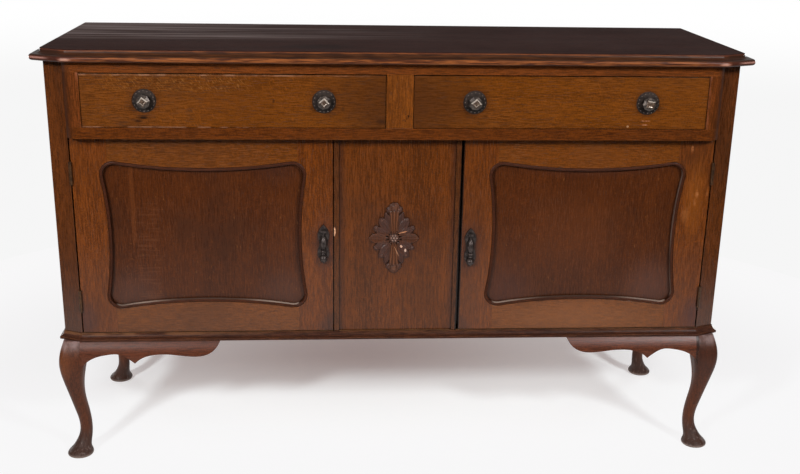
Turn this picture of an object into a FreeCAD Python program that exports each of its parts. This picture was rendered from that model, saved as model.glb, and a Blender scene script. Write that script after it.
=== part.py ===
import FreeCAD, Part
import math
import os
from FreeCAD import Vector

# An oak sideboard on cabriole legs: a framed case with two drawers that stand forward of two panelled
# doors, a fixed carved panel between the doors, and a moulded top with canted front corners.
# Millimetres. X runs right, Y to the back, Z up. The origin is on the floor under the middle of the top.

# Overall sizes
top_width = 1524.0
top_depth = 490.0
overall_height = 935.0
leg_height = 284.0

# Moulded top
top_thickness = 24.0
nose_height = 13.0
nose_radius = 6.2
nose_projection = 20.0
top_arris_radius = 1.8
top_arris_land = 0.2
top_corner_radius = 14.0
top_cant_width = 73.0
top_cant_depth = 32.0
top_side_overhang = 21.0
top_front_overhang = 23.0
top_back_overhang = 8.0

# Posts, side frames, back and floor of the case
post_width = 42.0
post_cant_depth = 17.0
post_depth = 48.0
rear_post_depth = 30.0
side_rail_thickness = 22.0
side_rail_height = 62.0
side_panel_thickness = 8.0
side_panel_set_back = 7.0
panel_tongue = 8.0
back_frame_thickness = 18.0
back_rail_height = 62.0
back_muntin_width = 70.0
back_panel_count = 4
back_panel_thickness = 6.0
partition_thickness = 18.0
shelf_thickness = 15.0
shelf_height = 214.0
shelf_front_set_back = 30.0
batten_size = 18.0

# Moulding round the foot of the case
base_height = 17.0
base_projection = 11.0
base_lip = 5.0
base_ledge = 2.0
base_cove_sag = 2.8

# Drawer section
frame_projection = 27.0
upper_rail_height = 23.0
lower_rail_height = 24.5
drawer_opening_height = 114.5
end_stile_width = 37.0
muntin_width = 57.0
muntin_depth = 50.0
runner_bearing = 22.0
guide_thickness = 18.0
guide_height = 40.0
drawer_side_gap = 1.0
drawer_top_gap = 2.0
drawer_rest_gap = 0.3
drawer_front_set_back = 2.0
drawer_front_thickness = 20.0
drawer_back_gap = 39.0
drawer_side_thickness = 10.0
drawer_side_drop = 12.0
drawer_bottom_thickness = 6.0
drawer_bottom_raise = 8.0
drawer_bottom_tongue = 5.0
dovetail_lap = 5.0
dovetail_count = 4
dovetail_slope = 2.0
dovetail_share = 0.6
stop_end_distance = 90.0
stop_length = 45.0
stop_width = 18.0
stop_height = 6.0

# Doors
door_thickness = 21.0
door_hinge_gap = 3.0
door_top_gap = 5.0
door_floor_gap = 1.5
left_door_free_gap = 2.5
right_door_free_gap = 5.0
door_stile_width = 76.0
door_top_rail_height = 64.0
door_bottom_rail_height = 71.0
door_tenon_length = 45.0
door_tenon_thickness = 8.0
door_tenon_shoulder = 8.0
door_tenon_haunch = 4.0
opening_side_bow_radius = 785.0
opening_top_bow_radius = 1186.0
opening_corner_radius = 30.0
opening_waist_lap = 7.0
door_panel_thickness = 8.0
door_panel_depth = 8.0
door_panel_tongue = 7.0
bead_width = 7.0
bead_proud = 1.5
bead_round = 3.0

# Fixed middle section between the doors
middle_width = 277.0
middle_strip_width = 11.0
middle_stile_width = 44.0
middle_stile_depth = 45.0
middle_stile_lap = 13.0
door_stop_gap = 0.3
middle_panel_set_back = 3.0
middle_panel_thickness = 9.0

# Carved ornament on the middle panel
patera_offset = -6.0
patera_height_above_floor = 521.0
tongue_length = 82.0
tongue_flare = 34.0
tongue_waist = 20.0
leaf_length = 56.0
leaf_width = 20.0
upper_spray_length = 60.0
upper_spray_angle = 27.0
lower_spray_length = 53.0
lower_spray_angle = 56.0
spray_width = 21.0
patera_relief = 6.0
spray_relief = 4.0
boss_radius = 9.0
boss_relief = 8.0

# Butt hinges
hinge_length = 50.0
hinge_end_distance = 75.0
hinge_leaf_thickness = 1.4
hinge_leaf_width = 17.0
knuckle_radius = 3.2
knuckle_face_gap = 0.3
knuckle_end_gap = 0.3
middle_knuckle_length = 19.4
hinge_pin_radius = 1.5
hinge_running_gap = 0.05

# Locks
lock_width = 34.0
lock_height = 55.0
lock_depth = 12.0
lock_above_pull = 21.0
bolt_height = 16.0
bolt_thickness = 5.0
bolt_back = 20.0
bolt_running_gap = 0.1
mortise_depth = 9.0
mortise_clearance = 0.7
keyhole_radius = 2.6
keyhole_slot_width = 2.6
keyhole_slot_drop = 7.0

# Drop pulls
pull_edge_distance = 21.0
left_pull_height = 508.0
right_pull_height = 499.0
pull_plate_length = 90.0
pull_plate_width = 25.0
pull_plate_thickness = 3.0
pull_pivot_rise = 30.0
pull_pivot_reach = 4.2
pull_pin_radius = 1.2
pull_running_gap = 0.05
pull_eye_radius = 3.6
pull_eye_width = 5.6
pull_lug_gap = 0.3
pull_lug_width = 2.5
pull_flat_back = 3.6
drop_neck_length = 8.0
drop_neck_radius = 2.4
drop_vase_length = 31.5
drop_vase_radius = 8.0
drop_ring_length = 6.5
drop_ring_radius = 5.6
drop_bead_length = 5.0
drop_bead_radius = 4.6
drop_ball_length = 18.5
drop_ball_radius = 8.8

# Drawer knobs
knob_spread = 186.0
knob_plate_radius = 25.0
knob_plate_rim_radius = 22.5
knob_plate_thickness = 3.0
knob_bead_count = 16
knob_bead_radius = 1.5
knob_bead_ring_radius = 21.3
knob_radius = 14.5
knob_projection = 18.0
knob_shank_radius = 2.5
knob_shank_clearance = 0.3
knob_nut_radius = 6.0
knob_nut_thickness = 4.0

# Cabriole legs. Each station gives a height, how far the leg's middle stands in from the side and from the
# front of the case, half its width, and how round it is. Feet go up from the floor, knees down from the case.
foot_stations = [(0, 17.0, 1.0, 24.5, 0.98), (6, 17.0, 1.0, 28.7, 0.98), (11, 17.8, 2.0, 26.2, 0.98),
                 (18, 20.0, 5.0, 21.3, 0.98), (29, 24.0, 10.0, 17.3, 0.98), (44, 28.4, 14.5, 14.7, 0.98),
                 (62, 30.2, 16.5, 13.7, 0.98)]
knee_stations = [(174, 24.6, 13.0, 15.4, 0.95), (134, 18.0, 6.5, 17.2, 0.85), (94, 14.5, 2.5, 22.0, 0.65),
                 (52, 15.5, 4.0, 28.0, 0.48), (26, 18.5, 9.5, 28.0, 0.42), (0, 24.0, 17.0, 25.0, 0.35)]
rear_leg_inset_x = 20.0
rear_leg_inset_y = 27.0

# Brackets beside the legs. Their lower edge is given as distance from the leg and drop below the case.
bracket_thickness = 28.0
bracket_swell = 14.0
bracket_swell_drop = 36.0
bracket_top_step = 1.0
bracket_arch = [(-13, 72), (-2, 49), (20, 35), (50, 28), (74, 28), (92, 37), (108, 50)]
bracket_lobes = [(108, 50), (117, 41.5), (136, 32.5), (162, 28.5), (187, 29), (217, 32.5), (242, 34.5),
                 (264, 31.5), (282, 22), (294, 8), (298, 0)]
bracket_return = [(108, 50), (116, 40), (126, 21), (132, 0)]

# Places worked out from the sizes above
case_half = top_width / 2 - top_side_overhang
case_top = overall_height - top_thickness
case_back = top_depth / 2 - top_back_overhang
frame_front = -top_depth / 2 + top_front_overhang
front = frame_front + frame_projection
post_inner = case_half - post_width
post_back = front + post_depth
rear_post_front = case_back - rear_post_depth
back_frame_front = case_back - back_frame_thickness
floor_top = leg_height + base_height
drawer_top = case_top - upper_rail_height
drawer_floor = drawer_top - drawer_opening_height
lower_rail_bottom = drawer_floor - lower_rail_height
drawer_inner = muntin_width / 2
drawer_outer = post_inner - end_stile_width
side_panel_inner = case_half - side_panel_set_back - side_panel_thickness
shelf_top = floor_top + shelf_height
door_outer = post_inner - door_hinge_gap
door_top = lower_rail_bottom - door_top_gap
door_bottom = floor_top + door_floor_gap
door_back = front + door_thickness
door_panel_front = front + door_panel_depth
hinge_x = post_inner - door_hinge_gap / 2
hinge_y = front - knuckle_radius - knuckle_face_gap
hinge_heights = (door_bottom + hinge_end_distance, door_top - hinge_end_distance)
free_gap = {"left": left_door_free_gap, "right": right_door_free_gap}
pull_height = {"left": left_pull_height, "right": right_pull_height}


def box(x, y, z):
    """A block between two limits along each axis."""
    return Part.makeBox(x[1] - x[0], y[1] - y[0], z[1] - z[0], Vector(x[0], y[0], z[0]))


def prism(points, low, high):
    """An upright solid over a plan outline."""
    corners = [Vector(px, py, low) for px, py in points]
    face = Part.Face(Part.makePolygon(corners + corners[:1]))
    return face.extrude(Vector(0, 0, high - low))


def rod_x(x, y, z, radius):
    """A round bar along X between two limits."""
    return Part.makeCylinder(radius, x[1] - x[0], Vector(x[0], y, z), Vector(1, 0, 0))


def rod_y(x, y, z, radius):
    """A round bar along Y between two limits."""
    return Part.makeCylinder(radius, y[1] - y[0], Vector(x, y[0], z), Vector(0, 1, 0))


def rod_z(x, y, z, radius):
    """A round bar along Z between two limits."""
    return Part.makeCylinder(radius, z[1] - z[0], Vector(x, y, z[0]), Vector(0, 0, 1))


def mirrored(shape):
    """The same shape on the other side of the middle."""
    return shape.mirror(Vector(0, 0, 0), Vector(1, 0, 0))


def on_side(side, shape):
    """A shape drawn for the right-hand side, put on the side named."""
    return mirrored(shape) if side == "left" else shape


def both_sides(shape):
    """A shape drawn for the right-hand side, and its twin on the left."""
    return [shape, mirrored(shape)]


def fused(shapes):
    """One solid made of shapes that overlap or share faces."""
    return shapes[0].multiFuse(shapes[1:]).removeSplitter()


def save(node, *solids):
    """Write the separate solids of one node."""
    shape = solids[0] if len(solids) == 1 else Part.makeCompound(list(solids))
    shape.exportStep("parts/" + node + ".step")


def offset_run(points, distance):
    """An open run of straight lines moved outwards, to the right of its direction, with mitred corners."""
    normals = []
    for (ax, ay), (bx, by) in zip(points, points[1:]):
        length = math.hypot(bx - ax, by - ay)
        normals.append(((by - ay) / length, (ax - bx) / length))
    moved = []
    for index, (px, py) in enumerate(points):
        before = normals[max(index - 1, 0)]
        after = normals[min(index, len(normals) - 1)]
        share = 1 + before[0] * after[0] + before[1] * after[1]
        moved.append((px + distance * (before[0] + after[0]) / share,
                      py + distance * (before[1] + after[1]) / share))
    return moved


def spline(points):
    """A smooth edge through points of the X and Z plane."""
    curve = Part.BSplineCurve()
    curve.interpolate([Vector(px, 0, pz) for px, pz in points])
    return curve.toShape()


def line(a, b):
    """A straight edge between two points of the X and Z plane."""
    return Part.makeLine(Vector(a[0], 0, a[1]), Vector(b[0], 0, b[1]))


def plate(edges, y):
    """A solid whose outline lies in the X and Z plane, between two limits along Y."""
    face = Part.Face(Part.Wire(Part.__sortEdges__(edges)))
    solid = face.extrude(Vector(0, y[1] - y[0], 0))
    solid.translate(Vector(0, y[0], 0))
    return solid


def edges_where(shape, test):
    """The edges of a shape whose middle passes a test."""
    return [edge for edge in shape.Edges if test(edge.valueAt(sum(edge.ParameterRange) / 2), edge)]


# Top: one wide board. Its front and ends are worked to a hollow over a round nose, its back is left square.
def build_top():
    half = top_width / 2
    rear = top_depth / 2
    nose_run = [(-half, rear), (-half, -rear + top_cant_depth), (-half + top_cant_width, -rear),
                (half - top_cant_width, -rear), (half, -rear + top_cant_depth), (half, rear)]
    nose_top = case_top + nose_height

    def slab(run, low, high):
        solid = prism(run, low, high)
        corners = edges_where(solid, lambda mid, edge: abs(mid.z - (low + high) / 2) < 1 and mid.y < 0)
        return solid.makeFillet(top_corner_radius, corners)

    nose = slab(nose_run, case_top, nose_top)
    nose_edges = edges_where(nose, lambda mid, edge: mid.y < rear - 1 and
                             min(abs(mid.z - case_top), abs(mid.z - nose_top)) < 0.1)
    nose = nose.makeFillet(nose_radius, nose_edges)
    board = slab(offset_run(nose_run, -nose_projection), nose_top, overall_height)
    board = board.fuse(nose)
    inner_half = half - nose_projection

    def in_hollow(mid, edge):
        inside = abs(mid.x) < inner_half + 0.1 and mid.y > -rear + nose_projection - 0.1
        return inside and abs(mid.z - nose_top) < 0.1 and mid.y < rear - 1

    hollow_radius = top_thickness - nose_height - top_arris_radius - top_arris_land
    board = board.makeFillet(hollow_radius, edges_where(board, in_hollow))
    arris = edges_where(board, lambda mid, edge: abs(mid.z - overall_height) < 0.1 and mid.y < rear - 1)
    return board.makeFillet(top_arris_radius, arris)


os.makedirs("parts", exist_ok=True)
save("top_board", build_top())

# Front posts, cut to a flat cant at the corner, and square posts at the back.
post_plan = [(case_half, front + post_cant_depth), (post_inner, front),
             (post_inner, post_back), (case_half, post_back)]
front_post = prism(post_plan, leg_height, case_top)
rear_post = box((post_inner, case_half), (rear_post_front, case_back), (leg_height, case_top))

# Side frames: an upper and a lower rail between the posts, and a flat panel held in grooves all round.
rail_x = (case_half - side_rail_thickness, case_half)
side_upper = box(rail_x, (post_back, rear_post_front), (case_top - side_rail_height, case_top))
side_lower = box(rail_x, (post_back, rear_post_front), (leg_height, leg_height + side_rail_height))
side_panel = box((side_panel_inner, side_panel_inner + side_panel_thickness),
                 (post_back - panel_tongue, rear_post_front + panel_tongue),
                 (leg_height + side_rail_height - panel_tongue, case_top - side_rail_height + panel_tongue))
front_post = front_post.cut(side_panel)
rear_post = rear_post.cut(side_panel)
side_upper = side_upper.cut(side_panel)
side_lower = side_lower.cut(side_panel)
save("side_panels", *both_sides(side_panel))
save("side_rails", *both_sides(side_upper), *both_sides(side_lower))

# Back: two grooved rails and three muntins with stub tenons hold four thin panels.
back_y = (back_frame_front, case_back)
rails_z = (leg_height + back_rail_height, case_top - back_rail_height)
groove_y = (case_back - (back_frame_thickness + back_panel_thickness) / 2,
            case_back - (back_frame_thickness - back_panel_thickness) / 2)
groove_z = (rails_z[0] - panel_tongue, rails_z[1] + panel_tongue)
groove = box((-post_inner - panel_tongue, post_inner + panel_tongue), groove_y, groove_z)
back_members = [box((-post_inner, post_inner), back_y, (leg_height, rails_z[0])).cut(groove),
                box((-post_inner, post_inner), back_y, (rails_z[1], case_top)).cut(groove)]
rear_posts = [post.cut(groove) for post in both_sides(rear_post)]
back_panel_width = (2 * post_inner - (back_panel_count - 1) * back_muntin_width) / back_panel_count
back_panels = []
for index in range(back_panel_count):
    start = -post_inner + index * (back_panel_width + back_muntin_width)
    end = start + back_panel_width
    back_panels.append(box((start - panel_tongue, end + panel_tongue), groove_y, groove_z))
    if index + 1 < back_panel_count:
        tenon = (end + panel_tongue, end + back_muntin_width - panel_tongue)
        web = box((end, end + back_muntin_width), back_y, rails_z).cut(groove)
        back_members.append(fused([web.Solids[0], web.Solids[1], box(tenon, groove_y, groove_z)]))
save("back_frame", *back_members)
save("back_panels", *back_panels)
save("rear_posts", *rear_posts)
save("left_corner_post", mirrored(front_post))
save("right_corner_post", front_post)

# Floor board of the case, notched round the posts.
case_bottom = fused([box((-post_inner, post_inner), (front, back_frame_front), (leg_height, floor_top)),
                     box((-rail_x[0], rail_x[0]), (post_back, rear_post_front), (leg_height, floor_top))])
save("case_bottom", case_bottom)


# Moulding round the foot of the case: five lengths, mitred where they meet.
def build_base_moulding():
    run = [(-case_half, case_back), (-case_half, front + post_cant_depth), (-post_inner, front),
           (post_inner, front), (case_half, front + post_cant_depth), (case_half, case_back)]
    limit = offset_run(run, 2 * base_projection)
    lip = (base_projection, base_lip)
    ledge = (base_ledge, base_height)
    chord = math.hypot(lip[0] - ledge[0], ledge[1] - lip[1])
    cove = ((lip[0] + ledge[0]) / 2 - base_cove_sag * (ledge[1] - lip[1]) / chord,
            (lip[1] + ledge[1]) / 2 - base_cove_sag * (lip[0] - ledge[0]) / chord)
    lengths = []
    for index in range(len(run) - 1):
        start = Vector(*run[index], leg_height)
        along = Vector(*run[index + 1], leg_height) - start
        out = Vector(along.y, -along.x, 0).normalize()
        reach = Vector(along).normalize() * (2 * base_projection)

        def place(point):
            return start - reach + out * point[0] + Vector(0, 0, point[1])

        section = ((0, 0), (base_projection, 0), lip, cove, ledge, (0, base_height))
        corners = [place(point) for point in section]
        edges = [Part.makeLine(corners[0], corners[1]), Part.makeLine(corners[1], corners[2]),
                 Part.Arc(corners[2], corners[3], corners[4]).toShape(),
                 Part.makeLine(corners[4], corners[5]), Part.makeLine(corners[5], corners[0])]
        bar = Part.Face(Part.Wire(edges)).extrude(along + reach * 2)
        plan = [run[index], run[index + 1], limit[index + 1], limit[index]]
        lengths.append(bar.common(prism(plan, leg_height - 1, floor_top + 1)))
    return lengths


save("base_moulding", *build_base_moulding())

# Upright partition behind the middle panel. It carries the drawer rail and the runner between the drawers.
middle_panel_y = (front + middle_panel_set_back, front + middle_panel_set_back + middle_panel_thickness)
partition_x = (-partition_thickness / 2, partition_thickness / 2)
save("centre_partition",
     box(partition_x, (middle_panel_y[1], back_frame_front), (floor_top, lower_rail_bottom)))

# Middle stiles: a narrow strip shows at the front, and the wider part behind it stops the doors.
strip_outer = middle_width / 2
strip_inner = strip_outer - middle_strip_width
stop_face = door_back + door_stop_gap
stile_z = (floor_top, lower_rail_bottom)
stop_outer = strip_outer + middle_stile_lap
middle_stile = fused([
    box((strip_inner, strip_outer), (front, stop_face), stile_z),
    box((stop_outer - middle_stile_width, stop_outer), (stop_face, front + middle_stile_depth), stile_z)])
middle_panel = box((-strip_inner, strip_inner), middle_panel_y, stile_z)


# A lock's bolt is a flat bar that slides sideways from the door's free edge into the middle stile.
def bolt_section(side, growth):
    centre = pull_height[side] + lock_above_pull
    middle = door_back - lock_depth / 2
    return ((middle - bolt_thickness / 2 - growth, middle + bolt_thickness / 2 + growth),
            (centre - bolt_height / 2 - growth, centre + bolt_height / 2 + growth))


middle_stiles = []
for side in ("left", "right"):
    bolt_y, bolt_z = bolt_section(side, mortise_clearance)
    mortise = box((strip_outer - mortise_depth, strip_outer), bolt_y, bolt_z)
    middle_stiles.append(on_side(side, middle_stile.cut(mortise)))
save("centre_stiles", *middle_stiles)
save("centre_panel", middle_panel)


# Carved ornament glued to the middle panel: two flared tongues, two petals, eight leaves and a boss.
def build_patera():
    def upright(edges, relief, turn):
        solid = plate(edges, (-relief, 0))
        solid.rotate(Vector(0, 0, 0), Vector(0, 1, 0), turn)
        return solid

    def petal(length, width, relief, turn):
        foot = Vector(0, 0, boss_radius / 2)
        tip = Vector(0, 0, length)
        edges = [Part.Arc(foot, Vector(width / 2, 0, length * 0.55), tip).toShape(),
                 Part.Arc(tip, Vector(-width / 2, 0, length * 0.55), foot).toShape()]
        return upright(edges, relief, turn)

    def tongue(turn):
        half = [(tongue_waist / 4, 0), (tongue_waist / 2, tongue_length * 0.5),
                (tongue_flare / 2, tongue_length * 0.76), (tongue_flare * 0.35, tongue_length * 0.93),
                (0, tongue_length)]
        other = [(-px, pz) for px, pz in reversed(half)]
        return upright([spline(half), spline(other), line(other[-1], half[0])], patera_relief, turn)

    pieces = [rod_y(0, (-boss_relief, 0), 0, boss_radius)]
    for turn in (0, 180):
        pieces.append(tongue(turn))
        pieces.append(petal(leaf_length, leaf_width, patera_relief, turn + 90))
        for angle in (-upper_spray_angle, upper_spray_angle):
            pieces.append(petal(upper_spray_length, spray_width, spray_relief, turn + angle))
        for angle in (-lower_spray_angle, lower_spray_angle):
            pieces.append(petal(lower_spray_length, spray_width, spray_relief, turn + angle))
    patera = fused(pieces)
    patera.translate(Vector(patera_offset, middle_panel_y[0], patera_height_above_floor))
    return patera


save("carved_patera", build_patera())

# Drawer section: rails with round ends, short end stiles and a muntin, all standing forward of the doors.
def section_plan():
    """Plan of the section between the posts, with quarter-round front corners."""
    straight = post_inner - frame_projection
    turned = frame_projection * math.sqrt(0.5)
    edges = [Part.makeLine(Vector(-straight, frame_front, 0), Vector(straight, frame_front, 0)),
             Part.makeLine(Vector(post_inner, post_back, 0), Vector(-post_inner, post_back, 0))]
    for sign in (-1, 1):
        bend = [Vector(sign * straight, frame_front, 0),
                Vector(sign * (straight + turned), front - turned, 0),
                Vector(sign * post_inner, front, 0)]
        edges.append(Part.Arc(*bend).toShape())
        edges.append(Part.makeLine(bend[2], Vector(sign * post_inner, post_back, 0)))
    return Part.Face(Part.Wire(Part.__sortEdges__(edges)))


def section_piece(low, high):
    """A piece with the whole plan of the section, between two heights."""
    solid = section_plan().extrude(Vector(0, 0, high - low))
    solid.translate(Vector(0, 0, low))
    return solid


end_stile = section_piece(drawer_floor, drawer_top).common(
    box((drawer_outer, post_inner), (frame_front, post_back), (drawer_floor, drawer_top)))
save("upper_drawer_rail", section_piece(drawer_top, case_top))
save("lower_drawer_rail", section_piece(lower_rail_bottom, drawer_floor))
save("drawer_end_stiles", *both_sides(end_stile))
save("drawer_muntin", box((-drawer_inner, drawer_inner), (frame_front, frame_front + muntin_depth),
                          (drawer_floor, drawer_top)))

# Runners under the drawers, guides beside them, kickers over them, and stops behind their fronts.
middle_span = (-drawer_inner - runner_bearing, drawer_inner + runner_bearing)
side_runner = box((drawer_outer - runner_bearing, side_panel_inner), (post_back, rear_post_front),
                  (lower_rail_bottom, drawer_floor))
middle_runner = box(middle_span, (post_back, back_frame_front), (lower_rail_bottom, drawer_floor))
save("drawer_runners", *both_sides(side_runner), middle_runner)
guide_z = (drawer_floor, drawer_floor + guide_height)
side_guide = box((drawer_outer, drawer_outer + guide_thickness), (post_back, rear_post_front), guide_z)
middle_guide = box((-drawer_inner, drawer_inner), (frame_front + muntin_depth, back_frame_front), guide_z)
side_kicker = box((drawer_outer - runner_bearing, rail_x[0]), (post_back, rear_post_front),
                  (drawer_top, case_top))
middle_kicker = box(middle_span, (post_back, back_frame_front), (drawer_top, case_top))
save("drawer_guides", *both_sides(side_guide), middle_guide)
save("drawer_kickers", *both_sides(side_kicker), middle_kicker)
drawer_face = frame_front + drawer_front_set_back
drawer_front_back = drawer_face + drawer_front_thickness
drawer_stops = []
for place in (drawer_inner + stop_end_distance, drawer_outer - stop_end_distance):
    stop = box((place - stop_length / 2, place + stop_length / 2),
               (drawer_front_back + drawer_rest_gap, drawer_front_back + drawer_rest_gap + stop_width),
               (drawer_floor, drawer_floor + stop_height))
    drawer_stops.extend(both_sides(stop))
save("drawer_stops", *drawer_stops)

# Shelves, one in each cupboard, resting on battens.
shelf_y = (post_back + shelf_front_set_back, rear_post_front)
shelf = box((partition_x[1], side_panel_inner), shelf_y, (shelf_top - shelf_thickness, shelf_top))
batten_z = (shelf_top - shelf_thickness - batten_size, shelf_top - shelf_thickness)
side_batten = box((side_panel_inner - batten_size, side_panel_inner), shelf_y, batten_z)
middle_batten = box((partition_x[1], partition_x[1] + batten_size), shelf_y, batten_z)
save("shelves", *both_sides(shelf))
save("shelf_battens", *both_sides(side_batten), *both_sides(middle_batten))

# Cabriole legs, lofted from the pad foot to the square knee.
leg_top_side_inset, leg_top_front_inset, leg_top_half = knee_stations[-1][1:4]
leg_inner_x = case_half - leg_top_side_inset - leg_top_half
leg_inner_y = front + leg_top_front_inset + leg_top_half
leg_front = front + leg_top_front_inset - leg_top_half


def leg_section(height, side_inset, front_inset, half, roundness):
    """A square with round corners across the leg at one height."""
    cx = case_half - side_inset
    cy = front + front_inset
    flat = half * (1 - roundness)
    radius = half - flat
    turned = radius * math.sqrt(0.5)
    edges = []
    for quarter in range(4):
        ux, uy = ((1, 0), (0, 1), (-1, 0), (0, -1))[quarter]
        vx, vy = -uy, ux

        def at(along, across):
            return Vector(cx + ux * along + vx * across, cy + uy * along + vy * across, height)

        edges.append(Part.makeLine(at(half, -flat), at(half, flat)))
        edges.append(Part.Arc(at(half, flat), at(flat + turned, flat + turned), at(flat, half)).toShape())
    return Part.Wire(edges)


def build_leg():
    stations = foot_stations + [(leg_height - drop, *rest) for drop, *rest in knee_stations]
    return Part.makeLoft([leg_section(*station) for station in stations], True, False)


front_leg = build_leg()
rear_leg = front_leg.mirror(Vector(0, front, 0), Vector(0, 1, 0))
rear_leg_move = Vector(-rear_leg_inset_x, case_back - rear_leg_inset_y - front, 0)
rear_leg.translate(rear_leg_move)
save("front_right_leg", front_leg)
save("front_left_leg", mirrored(front_leg))
save("rear_right_leg", rear_leg)
save("rear_left_leg", mirrored(rear_leg))

# Shaped brackets beside each leg, with a face that swells out below the case.
def build_bracket(tail):
    """A bracket that runs along +X from a leg, with its swelling face towards -Y."""
    def below(points):
        return [(along, leg_height - drop) for along, drop in points]

    start = (bracket_arch[0][0], leg_height)
    arch = below(bracket_arch)
    rest = below(tail)
    outline = plate([spline(arch), spline(rest), line(rest[-1], start), line(start, arch[0])],
                    (-bracket_thickness, bracket_thickness))
    rise = bracket_swell - bracket_top_step
    radius = (rise ** 2 + bracket_swell_drop ** 2) / (2 * rise)
    bend = math.asin(bracket_swell_drop / radius) / 2
    back = bracket_thickness - bracket_swell
    low = arch[0][1]
    top = Vector(0, -bracket_top_step, leg_height)
    middle = Vector(0, radius * (1 - math.cos(bend)) - bracket_swell,
                    leg_height - bracket_swell_drop + radius * math.sin(bend))
    fullest = Vector(0, -bracket_swell, leg_height - bracket_swell_drop)
    square = [fullest, Vector(0, -bracket_swell, low), Vector(0, back, low), Vector(0, back, leg_height), top]
    face = Part.Face(Part.Wire([Part.Arc(top, middle, fullest).toShape(), *Part.makePolygon(square).Edges]))
    swell = face.extrude(Vector(rest[-1][0] - start[0], 0, 0))
    swell.translate(Vector(start[0], 0, 0))
    return outline.common(swell)


front_bracket = build_bracket(bracket_lobes)
front_bracket.translate(Vector(-leg_inner_x, leg_front + bracket_top_step, 0))
front_bracket = front_bracket.cut(mirrored(front_leg))
save("front_brackets", *both_sides(front_bracket))
side_bracket = build_bracket(bracket_return)
side_bracket.rotate(Vector(0, 0, 0), Vector(0, 0, 1), 90)
side_bracket.translate(Vector(case_half, leg_inner_y, 0))
side_front = side_bracket.cut(front_leg)
side_rear = side_bracket.mirror(Vector(0, front, 0), Vector(0, 1, 0)).translated(rear_leg_move)
side_rear = side_rear.cut(rear_leg)
save("side_brackets", *both_sides(side_front), *both_sides(side_rear))


# Shaped opening of a door: four sides that bow inwards, joined by round corners. Growth moves it outwards.
def opening_edges(side, growth):
    free_edge = middle_width / 2 + free_gap[side]
    middle_x = (free_edge + door_outer) / 2
    low = door_bottom + door_bottom_rail_height
    high = door_top - door_top_rail_height
    middle_z = (low + high) / 2
    half_w = (door_outer - free_edge) / 2 - door_stile_width + opening_waist_lap
    half_h = (high - low) / 2
    top_r = opening_top_bow_radius
    side_r = opening_side_bow_radius
    corner_r = opening_corner_radius
    top_centre = Vector(0, 0, half_h + top_r)
    side_centre = Vector(half_w + side_r, 0, 0)
    gap = side_centre - top_centre
    apart = gap.Length
    reach = ((top_r + corner_r) ** 2 - (side_r + corner_r) ** 2 + apart ** 2) / (2 * apart)
    rise = math.sqrt((top_r + corner_r) ** 2 - reach ** 2)
    across = Vector(gap.z, 0, -gap.x) * (rise / apart)
    corner = top_centre + gap * (reach / apart) + across
    to_top = (top_centre - corner).normalize()
    to_side = (side_centre - corner).normalize()
    outward = (to_top + to_side).normalize()
    round_r = corner_r + growth
    top_end = corner + to_top * round_r
    side_end = corner + to_side * round_r
    bend = corner + outward * round_r

    def flip(point, sx, sz):
        return Vector(middle_x + point.x * sx, 0, middle_z + point.z * sz)

    edges = []
    for sx, sz in ((1, 1), (1, -1), (-1, -1), (-1, 1)):
        edges.append(Part.Arc(flip(top_end, sx, sz), flip(bend, sx, sz), flip(side_end, sx, sz)).toShape())
    for sz in (1, -1):
        mid = Vector(0, 0, half_h + growth)
        edges.append(Part.Arc(flip(top_end, -1, sz), flip(mid, 1, sz), flip(top_end, 1, sz)).toShape())
    for sx in (1, -1):
        mid = Vector(half_w + growth, 0, 0)
        edges.append(Part.Arc(flip(side_end, sx, 1), flip(mid, sx, 1), flip(side_end, sx, -1)).toShape())
    return edges


# Keyhole: a round hole over a slot, cut from the front of the pull's plate through to the lock.
def keyhole(x, z, y):
    slot = box((x - keyhole_slot_width / 2, x + keyhole_slot_width / 2), y, (z - keyhole_slot_drop, z))
    return rod_y(x, y, z, keyhole_radius).fuse(slot)


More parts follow.
